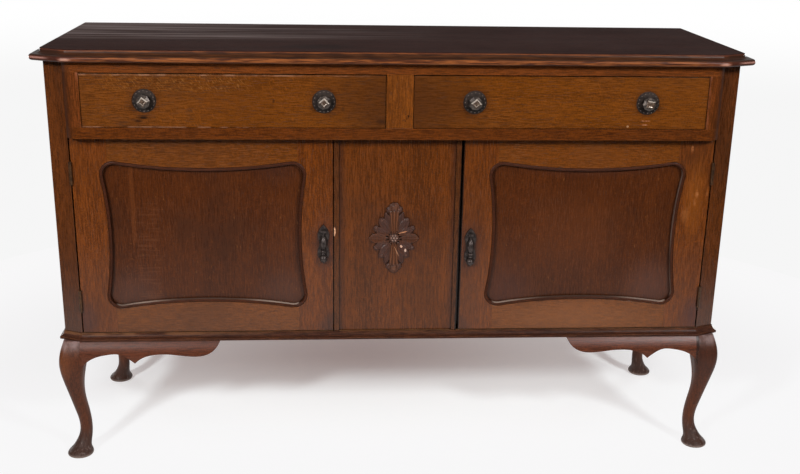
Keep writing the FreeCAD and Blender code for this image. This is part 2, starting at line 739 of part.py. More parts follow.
# Drop pull: a cast plate with two lugs and a pin, and a half-round drop that hangs on the pin.
def build_pull(x, z):
    half_w = pull_plate_width / 2
    half_l = pull_plate_length / 2
    right = [(0, half_l), (half_w * 0.62, half_l * 0.78), (half_w, half_l * 0.5), (half_w * 0.72, 0),
             (half_w, -half_l * 0.52), (half_w * 0.55, -half_l * 0.8), (0, -half_l)]
    left = [(-px, pz) for px, pz in reversed(right)]
    face_y = front - pull_plate_thickness
    back = plate([spline(right), spline(left)], (face_y, front))
    back.translate(Vector(x, 0, z))
    pivot_y = face_y - pull_pivot_reach
    pivot_z = z + pull_pivot_rise
    lug_start = pull_eye_width / 2 + pull_lug_gap
    lug_radius = pull_eye_radius - pull_lug_gap
    lugs = []
    for sign in (-1, 1):
        span = sorted((x + sign * lug_start, x + sign * (lug_start + pull_lug_width)))
        lugs.append(rod_x(span, pivot_y, pivot_z, lug_radius))
        lugs.append(box(span, (pivot_y, front), (pivot_z - lug_radius / 2, pivot_z + lug_radius / 2)))
    pin_span = (x - lug_start - pull_lug_width, x + lug_start + pull_lug_width)
    pin = rod_x(pin_span, pivot_y, pivot_z, pull_pin_radius)
    back = fused([back, *lugs]).cut(pin).cut(keyhole(x, z + lock_above_pull, (face_y, front)))
    rise = -pull_eye_radius / 2
    lengths = ((drop_neck_length, drop_neck_radius), (drop_vase_length, drop_vase_radius),
               (drop_ring_length, drop_ring_radius), (drop_bead_length, drop_bead_radius),
               (drop_ball_length, drop_ball_radius))
    edges = [line((0, rise), (drop_neck_radius, rise))]
    for index, (length, belly) in enumerate(lengths):
        low = rise - length
        foot = 0 if index == len(lengths) - 1 else drop_neck_radius
        start = Vector(drop_neck_radius, 0, rise)
        end = Vector(foot, 0, low)
        if belly == drop_neck_radius:
            edges.append(Part.makeLine(start, end))
        else:
            edges.append(Part.Arc(start, Vector(belly, 0, (rise + low) / 2), end).toShape())
        rise = low
    edges.append(line((0, rise), (0, -pull_eye_radius / 2)))
    profile = Part.Face(Part.Wire(Part.__sortEdges__(edges)))
    turned = profile.revolve(Vector(0, 0, 0), Vector(0, 0, 1), 360)
    turned.translate(Vector(x, pivot_y, pivot_z))
    behind = pivot_y + pull_flat_back
    turned = turned.cut(box((x - half_w, x + half_w), (behind, behind + half_w),
                            (pivot_z - pull_plate_length, pivot_z)))
    eye = rod_x((x - pull_eye_width / 2, x + pull_eye_width / 2), pivot_y, pivot_z, pull_eye_radius)
    bore = rod_x(pin_span, pivot_y, pivot_z, pull_pin_radius + pull_running_gap)
    return back, pin, fused([turned, eye]).cut(bore)


# Butt hinge: each leaf is a plate with its own knuckles, and the pin is fast in the case leaf.
def hinge_leaf(height, plate_x, knuckles, bore_radius):
    leaf_z = (height - hinge_length / 2, height + hinge_length / 2)
    pieces = [box(plate_x, (front, front + hinge_leaf_width), leaf_z)]
    for knuckle in knuckles:
        pieces.append(rod_z(hinge_x, hinge_y, knuckle, knuckle_radius))
        pieces.append(box(plate_x, (hinge_y, front), knuckle))
    bore = rod_z(hinge_x, hinge_y, (height - hinge_length, height + hinge_length), bore_radius)
    return fused(pieces).cut(bore)


case_leaves = []
hinge_pins = []
door_leaves = []
for height in hinge_heights:
    half_middle = middle_knuckle_length / 2
    outer_knuckles = ((height - hinge_length / 2, height - half_middle - knuckle_end_gap),
                      (height + half_middle + knuckle_end_gap, height + hinge_length / 2))
    case_leaves.append(hinge_leaf(height, (post_inner - hinge_leaf_thickness, post_inner),
                                  outer_knuckles, hinge_pin_radius))
    door_leaves.append(hinge_leaf(height, (door_outer, door_outer + hinge_leaf_thickness),
                                  ((height - half_middle, height + half_middle),),
                                  hinge_pin_radius + hinge_running_gap))
    hinge_pins.append(rod_z(hinge_x, hinge_y, (height - hinge_length / 2, height + hinge_length / 2),
                            hinge_pin_radius))
save("hinge_case_leaves", *[half for leaf in case_leaves for half in both_sides(leaf)])
save("hinge_pins", *[half for pin in hinge_pins for half in both_sides(pin)])

# Doors: tenoned frames with a shaped opening sawn in them, a panel in grooves and a planted bead.
for side in ("left", "right"):
    free_edge = middle_width / 2 + free_gap[side]
    pull_x = free_edge + pull_edge_distance
    pull_z = pull_height[side]
    lock_z = pull_z + lock_above_pull
    thick = (front, door_back)
    opening = plate(opening_edges(side, 0), (front - 1, door_back + 1))
    limits = opening.BoundBox
    panel = box((limits.XMin - door_panel_tongue, limits.XMax + door_panel_tongue),
                (door_panel_front, door_panel_front + door_panel_thickness),
                (limits.ZMin - door_panel_tongue, limits.ZMax + door_panel_tongue))
    shoulders = (free_edge + door_stile_width, door_outer - door_stile_width)
    tenon_reach = (shoulders[0] - door_tenon_length, shoulders[1] + door_tenon_length)
    tenon_y = (door_panel_front, door_panel_front + door_tenon_thickness)
    low_tenon = (door_bottom + door_tenon_shoulder, limits.ZMin - door_panel_tongue - door_tenon_haunch)
    high_tenon = (limits.ZMax + door_panel_tongue + door_tenon_haunch, door_top - door_tenon_shoulder)
    low_rail = fused([box(shoulders, thick, (door_bottom, door_bottom + door_bottom_rail_height)),
                      box(tenon_reach, tenon_y, low_tenon)])
    high_rail = fused([box(shoulders, thick, (door_top - door_top_rail_height, door_top)),
                       box(tenon_reach, tenon_y, high_tenon)])
    rails = [low_rail, high_rail]
    stiles = [box((free_edge, shoulders[0]), thick, (door_bottom, door_top)),
              box((shoulders[1], door_outer), thick, (door_bottom, door_top))]
    stiles = [stile.cut(rails[0]).cut(rails[1]).cut(opening).cut(panel) for stile in stiles]
    rails = [rail.cut(opening).cut(panel) for rail in rails]
    bolt_y, bolt_z = bolt_section(side, 0)
    lock = box((free_edge, free_edge + lock_width), (door_back - lock_depth, door_back),
               (lock_z - lock_height / 2, lock_z + lock_height / 2))
    slot_y, slot_z = bolt_section(side, bolt_running_gap)
    bolt_x = (free_edge, free_edge + bolt_back)
    bolt_slot = box((free_edge, bolt_x[1] + bolt_running_gap), slot_y, slot_z)
    stiles[0] = stiles[0].cut(lock).cut(keyhole(pull_x, lock_z, (front, door_back - lock_depth)))
    save(side + "_door_stiles", *[on_side(side, stile) for stile in stiles])
    save(side + "_door_rails", *[on_side(side, rail) for rail in rails])
    save(side + "_door_panel", on_side(side, panel))
    bead_face = front - bead_proud
    bead = plate(opening_edges(side, 0), (bead_face, door_panel_front))
    bead = bead.cut(plate(opening_edges(side, -bead_width), (bead_face - 1, door_panel_front + 1)))
    bead = bead.makeFillet(bead_round, edges_where(bead, lambda mid, edge: abs(mid.y - bead_face) < 0.1))
    save(side + "_door_bead", on_side(side, bead))
    save(side + "_hinge_leaves", *[on_side(side, leaf) for leaf in door_leaves])
    save(side + "_lock_case", on_side(side, lock.cut(bolt_slot)))
    save(side + "_lock_bolt", on_side(side, box(bolt_x, bolt_y, bolt_z)))
    pull_plate, pull_pin, pull_drop = build_pull(pull_x, pull_z)
    save(side + "_pull_plate", on_side(side, pull_plate), on_side(side, pull_pin))
    save(side + "_pull_drop", on_side(side, pull_drop))


# Octagonal stepped knob with a cast shank, drawn with its axis on Z and its face upwards.
def build_knob(turn):
    steps = [(0.0, 0.55), (0.18, 0.5), (0.34, 0.95), (0.6, 1.0), (0.74, 0.72), (0.82, 0.7), (1.0, 0.4)]
    rings = []
    for rise, share in steps:
        corners = []
        for corner in range(8):
            angle = math.radians(45 * corner + turn)
            radius = knob_radius * share
            corners.append(Vector(radius * math.cos(angle), radius * math.sin(angle), knob_projection * rise))
        rings.append(Part.makePolygon(corners + corners[:1]))
    return Part.makeLoft(rings, True, True)


def facing_front(shape, x, y, z):
    """Turn a shape drawn upwards so that it faces the front, with its foot on a vertical face."""
    turned = shape.copy()
    turned.rotate(Vector(0, 0, 0), Vector(1, 0, 0), 90)
    turned.translate(Vector(x, y, z))
    return turned


# Drawers: a thick front lap-dovetailed to thin sides, a back between the sides and a bottom in grooves.
knob_turns = {"left": (12, -8), "right": (22, 5)}
for side in ("left", "right"):
    inner = drawer_inner + drawer_side_gap
    outer = drawer_outer - drawer_side_gap
    rest = drawer_floor + drawer_rest_gap
    face_y = drawer_face
    front_back = drawer_front_back
    end_y = back_frame_front - drawer_back_gap
    side_top = drawer_top - drawer_side_drop
    drawer_front = box((inner, outer), (face_y, front_back), (rest, drawer_top - drawer_top_gap))
    bottom_z = (rest + drawer_bottom_raise, rest + drawer_bottom_raise + drawer_bottom_thickness)
    inside = (inner + drawer_side_thickness, outer - drawer_side_thickness)
    back_board = box(inside, (end_y - drawer_side_thickness, end_y), (bottom_z[1], side_top))
    bottom = box((inside[0] - drawer_bottom_tongue, inside[1] + drawer_bottom_tongue),
                 (front_back - drawer_bottom_tongue, end_y), bottom_z)
    pitch = (side_top - rest) / dovetail_count
    side_boards = []
    for across in ((inner, inside[0]), (inside[1], outer)):
        board = box(across, (front_back, end_y), (rest, side_top))
        tails = []
        for index in range(dovetail_count):
            low = rest + pitch * (index + (1 - dovetail_share) / 2)
            high = low + pitch * dovetail_share
            tail_y = face_y + dovetail_lap
            tail_points = ((front_back, low), (tail_y, low - dovetail_slope),
                           (tail_y, high + dovetail_slope), (front_back, high))
            corners = [Vector(across[0], py, pz) for py, pz in tail_points]
            tail = Part.Face(Part.makePolygon(corners + corners[:1]))
            tails.append(tail.extrude(Vector(across[1] - across[0], 0, 0)))
        side_boards.append(fused([board, *tails]))
    knob_z = (rest + drawer_top - drawer_top_gap) / 2
    knob_middle = (inner + outer) / 2
    knob_places = (knob_middle - knob_spread, knob_middle + knob_spread)
    for board in side_boards:
        drawer_front = drawer_front.cut(board)
    drawer_front = drawer_front.cut(bottom)
    plates = []
    knobs = []
    nuts = []
    for place, turn in zip(knob_places, knob_turns[side]):
        plate_face = face_y - knob_plate_thickness
        hole = rod_y(place, (plate_face, front_back), knob_z, knob_shank_radius + knob_shank_clearance)
        drawer_front = drawer_front.cut(hole)
        disc = Part.makeCone(knob_plate_radius, knob_plate_rim_radius, knob_plate_thickness)
        for index in range(knob_bead_count):
            angle = 2 * math.pi * index / knob_bead_count
            centre = Vector(knob_bead_ring_radius * math.cos(angle), knob_bead_ring_radius * math.sin(angle),
                            knob_plate_thickness)
            disc = disc.fuse(Part.makeSphere(knob_bead_radius, centre))
        plates.append(facing_front(disc, place, face_y, knob_z).cut(hole))
        shank = rod_y(place, (plate_face, front_back + knob_nut_thickness), knob_z, knob_shank_radius)
        knob = facing_front(build_knob(turn), place, plate_face, knob_z)
        knobs.append(fused([knob, shank]))
        nut_y = (front_back, front_back + knob_nut_thickness)
        nuts.append(rod_y(place, nut_y, knob_z, knob_nut_radius).cut(shank))
    side_boards = [board.cut(bottom) for board in side_boards]
    save(side + "_drawer_front", on_side(side, drawer_front))
    save(side + "_drawer_box", *[on_side(side, piece) for piece in side_boards + [back_board]])
    save(side + "_drawer_bottom", on_side(side, bottom))
    save(side + "_knob_plates", *[on_side(side, piece) for piece in plates])
    save(side + "_knobs", *[on_side(side, piece) for piece in knobs + nuts])
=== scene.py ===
import math
from types import SimpleNamespace

import bpy
import numpy as np
from mathutils import Matrix, Vector


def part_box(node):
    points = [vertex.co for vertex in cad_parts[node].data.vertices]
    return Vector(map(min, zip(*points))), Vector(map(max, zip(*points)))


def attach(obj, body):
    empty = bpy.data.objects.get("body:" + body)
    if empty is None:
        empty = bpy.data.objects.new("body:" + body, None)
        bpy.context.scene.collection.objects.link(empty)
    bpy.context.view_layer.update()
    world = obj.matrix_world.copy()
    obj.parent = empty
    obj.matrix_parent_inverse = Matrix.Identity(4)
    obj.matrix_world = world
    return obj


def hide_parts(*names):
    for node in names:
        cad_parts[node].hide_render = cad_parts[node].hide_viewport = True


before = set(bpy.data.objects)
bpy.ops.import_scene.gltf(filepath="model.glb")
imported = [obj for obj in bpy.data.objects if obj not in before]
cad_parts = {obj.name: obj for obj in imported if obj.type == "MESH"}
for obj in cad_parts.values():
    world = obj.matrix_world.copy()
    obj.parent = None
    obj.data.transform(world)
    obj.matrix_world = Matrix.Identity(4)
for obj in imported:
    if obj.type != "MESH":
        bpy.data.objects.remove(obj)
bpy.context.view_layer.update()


# Legs: four cabriole legs bandsawn from square oak and shaped by hand, stained dark and rubbed with wax.
# The tops of the knees carry a painted pale sheen, and the feet have lost some of their colour near the
# floor, with painted pale highlight streaks on them.
class Wire:
    """A socket of a finish. Sums and products of wires add Math nodes beside it."""

    def __init__(self, socket):
        self.socket = socket
        self.tree = socket.id_data

    def make(self, kind, settings=None, sockets=None, out=0):
        """A new node of a kind: first its settings, then the values or wires of its sockets."""
        node = self.tree.nodes.new("ShaderNode" + kind)
        for key, value in (settings or {}).items():
            setattr(node, key, value)
        for key, value in (sockets or {}).items():
            if isinstance(value, Wire):
                self.tree.links.new(value.socket, node.inputs[key])
            else:
                node.inputs[key].default_value = value
        return Wire(node.outputs[out])

    def math(self, operation, first, second=0.0):
        return self.make("Math", {"operation": operation}, {0: first, 1: second})

    def __add__(self, other):
        return self.math("ADD", self, other)

    def __radd__(self, other):
        return self.math("ADD", other, self)

    def __sub__(self, other):
        return self.math("SUBTRACT", self, other)

    def __rsub__(self, other):
        return self.math("SUBTRACT", other, self)

    def __mul__(self, other):
        return self.math("MULTIPLY", self, other)

    def __rmul__(self, other):
        return self.math("MULTIPLY", other, self)

    def __abs__(self):
        return self.math("ABSOLUTE", self)


def tint(red, green, blue):
    """A stain given in screen values, as the linear colour that the shader takes."""
    linear = [c / 12.92 if c <= 0.04045 else ((c + 0.055) / 1.055) ** 2.4
              for c in (red / 255, green / 255, blue / 255)]
    return (*linear, 1.0)


def ease(value, low, high):
    """0 below low, 1 above high, and a smooth rise between."""
    return value.make("MapRange", {"interpolation_type": "SMOOTHSTEP"},
                      {"Value": value, "From Min": low, "From Max": high})


def stained(base, colour, amount):
    """The base colour with another laid over it by amount."""
    return amount.make("Mix", {"data_type": "RGBA"}, {0: amount, 6: base, 7: colour}, out=2)


def rub_in(finish, colour, where, by=1.0):
    """Rubs a stain into a finish where the wire is above 0, by a share of its full colour."""
    finish.colour = stained(finish.colour, tint(*colour), where * by)


def mottle(place, scale, seed, detail=3.0, distortion=0.0):
    """Cloudy noise with scale cells to the metre along each axis. Each seed gives other clouds."""
    cloud_roughness = 0.55
    shift = (seed * 3.7, seed * 5.3, seed * 7.9)
    spread = place.make("VectorMath", {"operation": "MULTIPLY_ADD"}, {0: place, 1: scale, 2: shift})
    return place.make("TexNoise", None, {"Vector": spread, "Scale": 1.0, "Detail": detail,
                                         "Roughness": cloud_roughness, "Distortion": distortion})


def blot(place, centre, size, soft=0.5):
    """1 inside an ellipsoid of that centre and size, fading out towards its skin."""
    offset = place.make("VectorMath", {"operation": "SUBTRACT"}, {0: place, 1: centre})
    ratio = place.make("VectorMath", {"operation": "DIVIDE"}, {0: offset, 1: size})
    reach = place.make("VectorMath", {"operation": "LENGTH"}, {0: ratio}, out="Value")
    return 1 - ease(reach, 1 - soft, 1.0)


def turned(place, angle, centre=(0.0, 0.0, 0.0)):
    """Places turned about an axis that runs from front to back."""
    return place.make("VectorRotate", {"rotation_type": "Y_AXIS"},
                      {"Vector": place, "Center": centre, "Angle": angle})


def bare_finish(name):
    """A new material with its shader, and the wires of places on the piece in metres."""
    material = bpy.data.materials.new(name)
    material.use_nodes = True
    tree = material.node_tree
    tree.nodes.clear()
    shader = tree.nodes.new("ShaderNodeBsdfPrincipled")
    end = tree.nodes.new("ShaderNodeOutputMaterial")
    tree.links.new(shader.outputs[0], end.inputs[0])
    place = Wire(tree.nodes.new("ShaderNodeTexCoord").outputs["Object"])
    x, y, z = (place.make("SeparateXYZ", None, {0: place}, out=axis) for axis in range(3))
    return SimpleNamespace(material=material, shader=shader, end=end, place=place, x=x, y=y, z=z)


dark_dirt_and_shade = (20, 11, 7)


def oak(name, along, pale, deep, seed, pores=0.5, flecks=0.0, worn=0.4, nook_dirt_and_shade=0.7,
        worn_tint=(128, 78, 38), gloss=0.26, blotch=0.3, ticks=0.0, marks=(), smudges=(),
        specular=0.42, nook=0.03, figure=1.0):
    """Stained oak with its grain along one axis, and its rays, rubbed arrises, dirt and painted shade in its
    nooks, and marks.

    A layer of grain is noise, given as cells to the metre across the grain and along it.
    """
    finish = bare_finish(name)
    place = finish.place
    run = "XYZ".index(along)

    def grain(across, length, shift, **more):
        scale = [across] * 3
        scale[run] = length
        return mottle(place, scale, seed + shift, **more)

    rings = grain(14.0, 1.2, 0.0, detail=2.0, distortion=0.5)
    streak = grain(210.0, 6.0, 1.0, distortion=0.3)
    fine = grain(560.0, 38.0, 2.0)
    pore = ease(grain(700.0, 50.0, 3.0, detail=2.0), 0.56, 0.7)
    cloud = mottle(place, (6.0, 6.0, 6.0), seed + 4.0, detail=4.0)
    speck = mottle(place, (330.0, 330.0, 330.0), seed + 11.0, detail=2.0)
    rings_share, streak_share, fine_share, speck_share = 0.6, 0.4, 1.9, 1.1
    tone = (rings - 0.5) * rings_share + (streak - 0.5) * streak_share + 0.5
    tone = tone + ((fine - 0.5) * fine_share + (speck - 0.5) * speck_share) * figure
    finish.colour = stained(tint(*deep), tint(*pale), ease(tone, 0.12, 0.88))
    cloud_tint, pore_tint = ([c * share for c in deep] for share in (0.7, 0.55))
    rub_in(finish, cloud_tint, ease(cloud, 0.48, 0.8), by=blotch)
    rub_in(finish, pore_tint, pore, by=pores)
    if flecks:
        ray_scale = [75.0] * 3
        ray_scale[run] = 330.0
        ray_slant = 0.45
        ray = mottle(turned(place, ray_slant), ray_scale, seed + 6.0, detail=2.0)
        patch = mottle(place, (9.0, 9.0, 9.0), seed + 7.0, detail=2.0)
        ray_tint = [min(255, c * 1.25) for c in pale]
        rub_in(finish, ray_tint, ease(ray, 0.55, 0.72) * ease(patch, 0.48, 0.64), by=flecks)
    if ticks:
        rub_in(finish, worn_tint, ease(grain(240.0, 70.0, 10.0, detail=1.0), 0.68, 0.76), by=ticks)
    for centre, size, smudge_tint, strength in smudges:
        rub_in(finish, smudge_tint, blot(place, centre, size, soft=0.9), by=strength)
    arris_radius = 0.0016
    rounded = place.make("Bevel", {"samples": 4}, {"Radius": arris_radius})
    flat = place.make("NewGeometry", None, None, out="Normal")
    bend = 1 - place.make("VectorMath", {"operation": "DOT_PRODUCT"}, {0: rounded, 1: flat}, out="Value")
    rubbed = mottle(place, (22.0, 22.0, 22.0), seed + 8.0)
    # Nooks, gaps and corners are darkened by dirt and by painted shade.
    open_air = place.make("AmbientOcclusion", {"samples": 4}, {"Distance": nook}, out="AO")
    shut = 1 - ease(open_air, 0.3, 0.95)
    rub_in(finish, dark_dirt_and_shade, shut, by=nook_dirt_and_shade)
    rub_in(finish, worn_tint, ease(bend, 0.02, 0.16) * ease(rubbed, 0.4, 0.62) * (1 - shut), by=worn)
    for centre, size, mark_tint, strength in marks:
        ragged = ease(mottle(place, (160.0, 160.0, 160.0), seed + 9.0, detail=2.0), 0.3, 0.6)
        rub_in(finish, mark_tint, blot(place, centre, size) * ragged, by=strength)
    finish.rough = (fine - 0.5) * 0.14 + (cloud - 0.5) * 0.2 + pore * 0.1 + gloss
    finish.height = fine * 0.5 - pore * 0.8 + streak * 0.3
    finish.rounded = rounded
    finish.bump = 0.18
    finish.specular = specular
    return finish


def lay_on(finish, *pieces):
    """Joins a finish's colour, roughness and relief to its shader and puts it on the pieces."""
    shader, tree = finish.shader, finish.material.node_tree
    tree.links.new(finish.colour.socket, shader.inputs["Base Color"])
    tree.links.new(finish.rough.socket, shader.inputs["Roughness"])
    relief_depth = 0.0006
    relief = {"Strength": finish.bump, "Distance": relief_depth, "Height": finish.height}
    if finish.rounded:
        relief["Normal"] = finish.rounded
    bump = finish.height.make("Bump", None, relief)
    tree.links.new(bump.socket, shader.inputs["Normal"])
    shader.inputs["Specular IOR Level"].default_value = finish.specular
    for name in pieces:
        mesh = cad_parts[name].data
        mesh.materials.clear()
        mesh.materials.append(finish.material)


leg_pale, leg_deep = (95, 48, 24), (56, 27, 14)
knee_shade, knee_amber, left_warmth = (44, 24, 19), (140, 80, 44), (118, 68, 42)
foot_grey, painted_foot_highlight, painted_knee_sheen, bare_sole = (52, 40, 36), (126, 108, 102), (172, 148, 146), (146, 126, 116)
right_knee, right_knee_size = (0.725, -0.21, 0.225), (0.07, 0.06, 0.09)
left_knee, left_knee_size = (-0.752, -0.21, 0.232), (0.04, 0.06, 0.06)
sole_low, sole_high = 0.003, 0.009
ankle_low, ankle_high = 0.03, 0.08
knee_low, knee_high = 0.258, 0.277
leg_oak = oak("leg_oak", "Z", leg_pale, leg_deep, seed=1.0, pores=0.3, worn=0.2, gloss=0.42,
              specular=0.2, figure=0.6)
rub_in(leg_oak, knee_shade, blot(leg_oak.place, right_knee, right_knee_size, soft=0.8), by=0.5)
rub_in(leg_oak, knee_amber, blot(leg_oak.place, left_knee, left_knee_size, soft=0.8), by=0.22)
rub_in(leg_oak, left_warmth, 1 - ease(leg_oak.x, -0.2, 0.2), by=0.03)
foot = 1 - ease(leg_oak.z, ankle_low, ankle_high)
rub_in(leg_oak, foot_grey, foot, by=0.62)
leg_oak.rough = leg_oak.rough + foot * 0.08
# Pale upright streaks are painted on the feet as highlights.
foot_highlight_streaks = ease(mottle(leg_oak.place, (190.0, 190.0, 26.0), 1.5), 0.54, 0.68)
rub_in(leg_oak, painted_foot_highlight, foot_highlight_streaks * foot, by=0.35)
# A pale sheen is painted in patches on the tops of the front knees.
knee_sheen_patches = ease(mottle(leg_oak.place, (70.0, 70.0, 40.0), 1.7, detail=2.0), 0.34, 0.6)
knee_front = ease(leg_oak.z, knee_low, knee_high) * (1 - ease(leg_oak.y, -0.16, -0.1))
rub_in(leg_oak, painted_knee_sheen, (knee_sheen_patches * 0.7 + 0.3) * knee_front, by=0.36)
rub_in(leg_oak, bare_sole, 1 - ease(leg_oak.z, sole_low, sole_high), by=0.65)
lay_on(leg_oak, "front_left_leg", "front_right_leg", "rear_left_leg", "rear_right_leg")


# Brackets: thin shaped pieces of oak glued beside the knees, two on the front and two at each end.
# They are stained like the legs. A pale sheen is painted along their upper edge, most on the right.
front_pale, front_deep = (102, 51, 29), (64, 31, 17)
side_pale, side_deep = (92, 45, 23), (54, 25, 13)
painted_bracket_sheen, left_shade, seam_dark = (166, 140, 138), (62, 34, 20), (26, 15, 12)
sheen_low, sheen_high = 0.256, 0.280
seam_start, seam_end = 0.6975, 0.6995
bracket_finish = dict(pores=0.3, worn=0.2, gloss=0.38, specular=0.22)
bracket_oak = oak("front_bracket_oak", "X", front_pale, front_deep, seed=2.0, **bracket_finish)
# The pale band along the upper edge is a painted sheen, strongest on the right.
sheen_share = ease(bracket_oak.x, 0.25, 0.6) * 0.14 + 0.08
rub_in(bracket_oak, painted_bracket_sheen, ease(bracket_oak.z, sheen_low, sheen_high) * sheen_share)
rub_in(bracket_oak, left_shade, 1 - ease(bracket_oak.x, -0.4, 0.2), by=0.2)
rub_in(bracket_oak, seam_dark, ease(bracket_oak.x, seam_start, seam_end), by=0.75)
lay_on(bracket_oak, "front_brackets")
lay_on(oak("side_bracket_oak", "Y", side_pale, side_deep, seed=3.0, **bracket_finish), "side_brackets")


# Base moulding: five mitred lengths of small oak moulding, pinned and glued round the foot of the case.
# Its upper arris is rubbed down to pale wood by shoes and brooms, and is painted paler there as a highlight
# too.
base_pale, base_deep, base_worn, pale_wear_and_highlight = (80, 43, 26), (46, 23, 15), (150, 92, 48), (164, 112, 74)
base_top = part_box("base_moulding")[1].z
base_oak = oak("base_moulding_oak", "X", base_pale, base_deep, seed=4.0, worn=0.7, worn_tint=base_worn,
               gloss=0.4, specular=0.14)
base_arris = ease(base_oak.z, base_top - 0.0070, base_top - 0.0045)
broken = ease(mottle(base_oak.place, (16.0, 16.0, 60.0), 4.5), 0.38, 0.6)
left_end_share = (1 - ease(base_oak.x, -0.6, -0.2)) * 0.18 + 0.08
# The pale line on the upper arris is wear and a painted highlight.
rub_in(base_oak, pale_wear_and_highlight, base_arris * broken * left_end_share)
lay_on(base_oak, "base_moulding")


# Case: two front posts with a flat cant, two rear posts, and rails with a flat panel in a groove at
# each end. Solid oak, mortised together and stained; the foot of each post is dark with old dirt.
post_pale, post_deep, post_dirt = (100, 50, 16), (64, 31, 9), (60, 39, 31)
end_panel_pale, end_panel_deep = (98, 49, 17), (62, 30, 10)
end_rail_pale, end_rail_deep = (100, 50, 16), (62, 30, 9)
post_foot, post_clean = 0.29, 0.52
post_oak = oak("post_oak", "Z", post_pale, post_deep, seed=5.0)
rub_in(post_oak, post_dirt, 1 - ease(post_oak.z, post_foot, post_clean), by=0.5)
lay_on(post_oak, "left_corner_post", "right_corner_post", "rear_posts")
lay_on(oak("end_panel_oak", "Z", end_panel_pale, end_panel_deep, seed=6.0, flecks=0.4), "side_panels")
lay_on(oak("end_rail_oak", "Y", end_rail_pale, end_rail_deep, seed=7.0), "side_rails")


# Back and inside: a framed back with thin panels, the floor, shelves on battens, the partition, and
# the runners, guides, kickers and stops of the drawers. Plain wood, never polished, brown with age.
plain_pale, plain_deep = (150, 108, 66), (104, 68, 38)
back_frame_pale, back_frame_deep = (122, 84, 50), (82, 52, 30)
unpolished = dict(pores=0.35, worn=0.0, nook_dirt_and_shade=0.5, gloss=0.62, blotch=0.4)
lay_on(oak("back_frame_wood", "Z", back_frame_pale, back_frame_deep, seed=8.0, **unpolished), "back_frame")
lay_on(oak("back_panel_wood", "Z", plain_pale, plain_deep, seed=9.0, **unpolished), "back_panels")
lay_on(oak("inside_board_wood", "X", plain_pale, plain_deep, seed=10.0, **unpolished),
       "case_bottom", "shelves", "drawer_stops")
lay_on(oak("inside_strip_wood", "Y", plain_pale, plain_deep, seed=11.0, **unpolished),
       "shelf_battens", "drawer_runners", "drawer_guides", "drawer_kickers")
lay_on(oak("partition_wood", "Z", plain_pale, plain_deep, seed=12.0, **unpolished), "centre_partition")


# Drawer frame: an upper and a lower rail with round ends, standing forward of the doors, with a stile
# at each end and a muntin between the drawers. Oak, stained redder than the drawers; the round ends
# are painted dark as shade, and the end stiles are chafed where the drawers rub them.
def between(value, start, end, soft):
    """1 from start to end, fading to 0 over soft on both sides."""
    return ease(value, start - soft, start) * (1 - ease(value, end, end + soft))


def spots_on(face, depth, spots):
    """Spots on an upright face: each is (across, height, half width, half height, stain, strength)."""
    return [((across, face, height), (half_width, depth, half_height), stain, strength)
            for across, height, half_width, half_height, stain, strength in spots]


upper_rail_pale, upper_rail_deep = (118, 60, 22), (78, 39, 14)
lower_rail_pale, lower_rail_deep = (100, 49, 13), (64, 30, 9)
end_stile_pale, end_stile_deep = (108, 54, 21), (71, 35, 12)
muntin_pale, muntin_deep, muntin_spot = (122, 64, 15), (86, 43, 9), (34, 16, 6)
painted_end_shade, chafed_pale = (38, 19, 10), (150, 92, 68)
frame_low, frame_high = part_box("drawer_end_stiles")
drawer_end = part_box("right_drawer_front")[1].x
upper_rail_oak = oak("upper_rail_oak", "X", upper_rail_pale, upper_rail_deep, seed=13.0, nook_dirt_and_shade=0.4,
                     specular=0.16)
lower_rail_oak = oak("lower_rail_oak", "X", lower_rail_pale, lower_rail_deep, seed=13.5, worn=0.5,
                     specular=0.16)
end_stile_oak = oak("end_stile_oak", "Z", end_stile_pale, end_stile_deep, seed=14.0, specular=0.08)
# The round ends of the rails and stiles are painted dark as shade.
for end_oak in (upper_rail_oak, lower_rail_oak, end_stile_oak):
    shaded_round_end = ease(abs(end_oak.x), frame_high.x - 0.025, frame_high.x - 0.001)
    rub_in(end_oak, painted_end_shade, shaded_round_end, by=0.62)
    end_oak.rough = end_oak.rough + shaded_round_end * 0.3
    end_oak.rounded = None
chafed_edge = between(abs(end_stile_oak.x), drawer_end + 0.0015, drawer_end + 0.005, 0.002)
stile_chafe = ease(mottle(end_stile_oak.place, (60.0, 60.0, 20.0), 14.5), 0.42, 0.62)
rub_in(end_stile_oak, chafed_pale, chafed_edge * stile_chafe, by=0.4)
lay_on(upper_rail_oak, "upper_drawer_rail")
lay_on(lower_rail_oak, "lower_drawer_rail")
lay_on(end_stile_oak, "drawer_end_stiles")
muntin_spots = spots_on(frame_low.y + 0.001, 0.006, [
    (0.0176, 0.7983, 0.0045, 0.006, muntin_spot, 1.0),
    (0.0093, 0.7897, 0.0045, 0.0045, muntin_spot, 1.0)])
lay_on(oak("muntin_oak", "Z", muntin_pale, muntin_deep, seed=15.0, marks=muntin_spots), "drawer_muntin")


# Top: two oak boards jointed edge to edge, with canted front corners, and a hollow over a round nose
# worked on the front and ends. The face is almost black with old polish, with a painted reflection at
# the back on the left, and the nose is rubbed to a red brown, with painted highlights on its upper arris,
# near its corners and at the tips of the cants, and painted shade on its underside.
top_pale, top_deep, top_worn = (61, 33, 26), (40, 19, 15), (120, 62, 32)
painted_top_reflection, top_stain, joint_dark = (128, 110, 106), (20, 12, 10), (14, 8, 7)
nose_deep, nose_pale, nose_corner, nose_cant = (64, 29, 15), (146, 82, 38), (92, 46, 36), (52, 26, 19)
hollow_dark, painted_under_shade, painted_arris_highlight = (44, 24, 10), (38, 18, 10), (108, 62, 44)
painted_tip_highlight, painted_nose_highlight = (188, 136, 122), (214, 160, 138)
top_low, top_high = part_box("top_board")
nose_top, hollow_top = top_low.z + 0.0125, top_high.z - 0.0025
board_joint, joint_half = -0.071, 0.0005
stain_centre, stain_size = (-0.17, -0.15, top_high.z), (0.12, 0.05, 0.02)
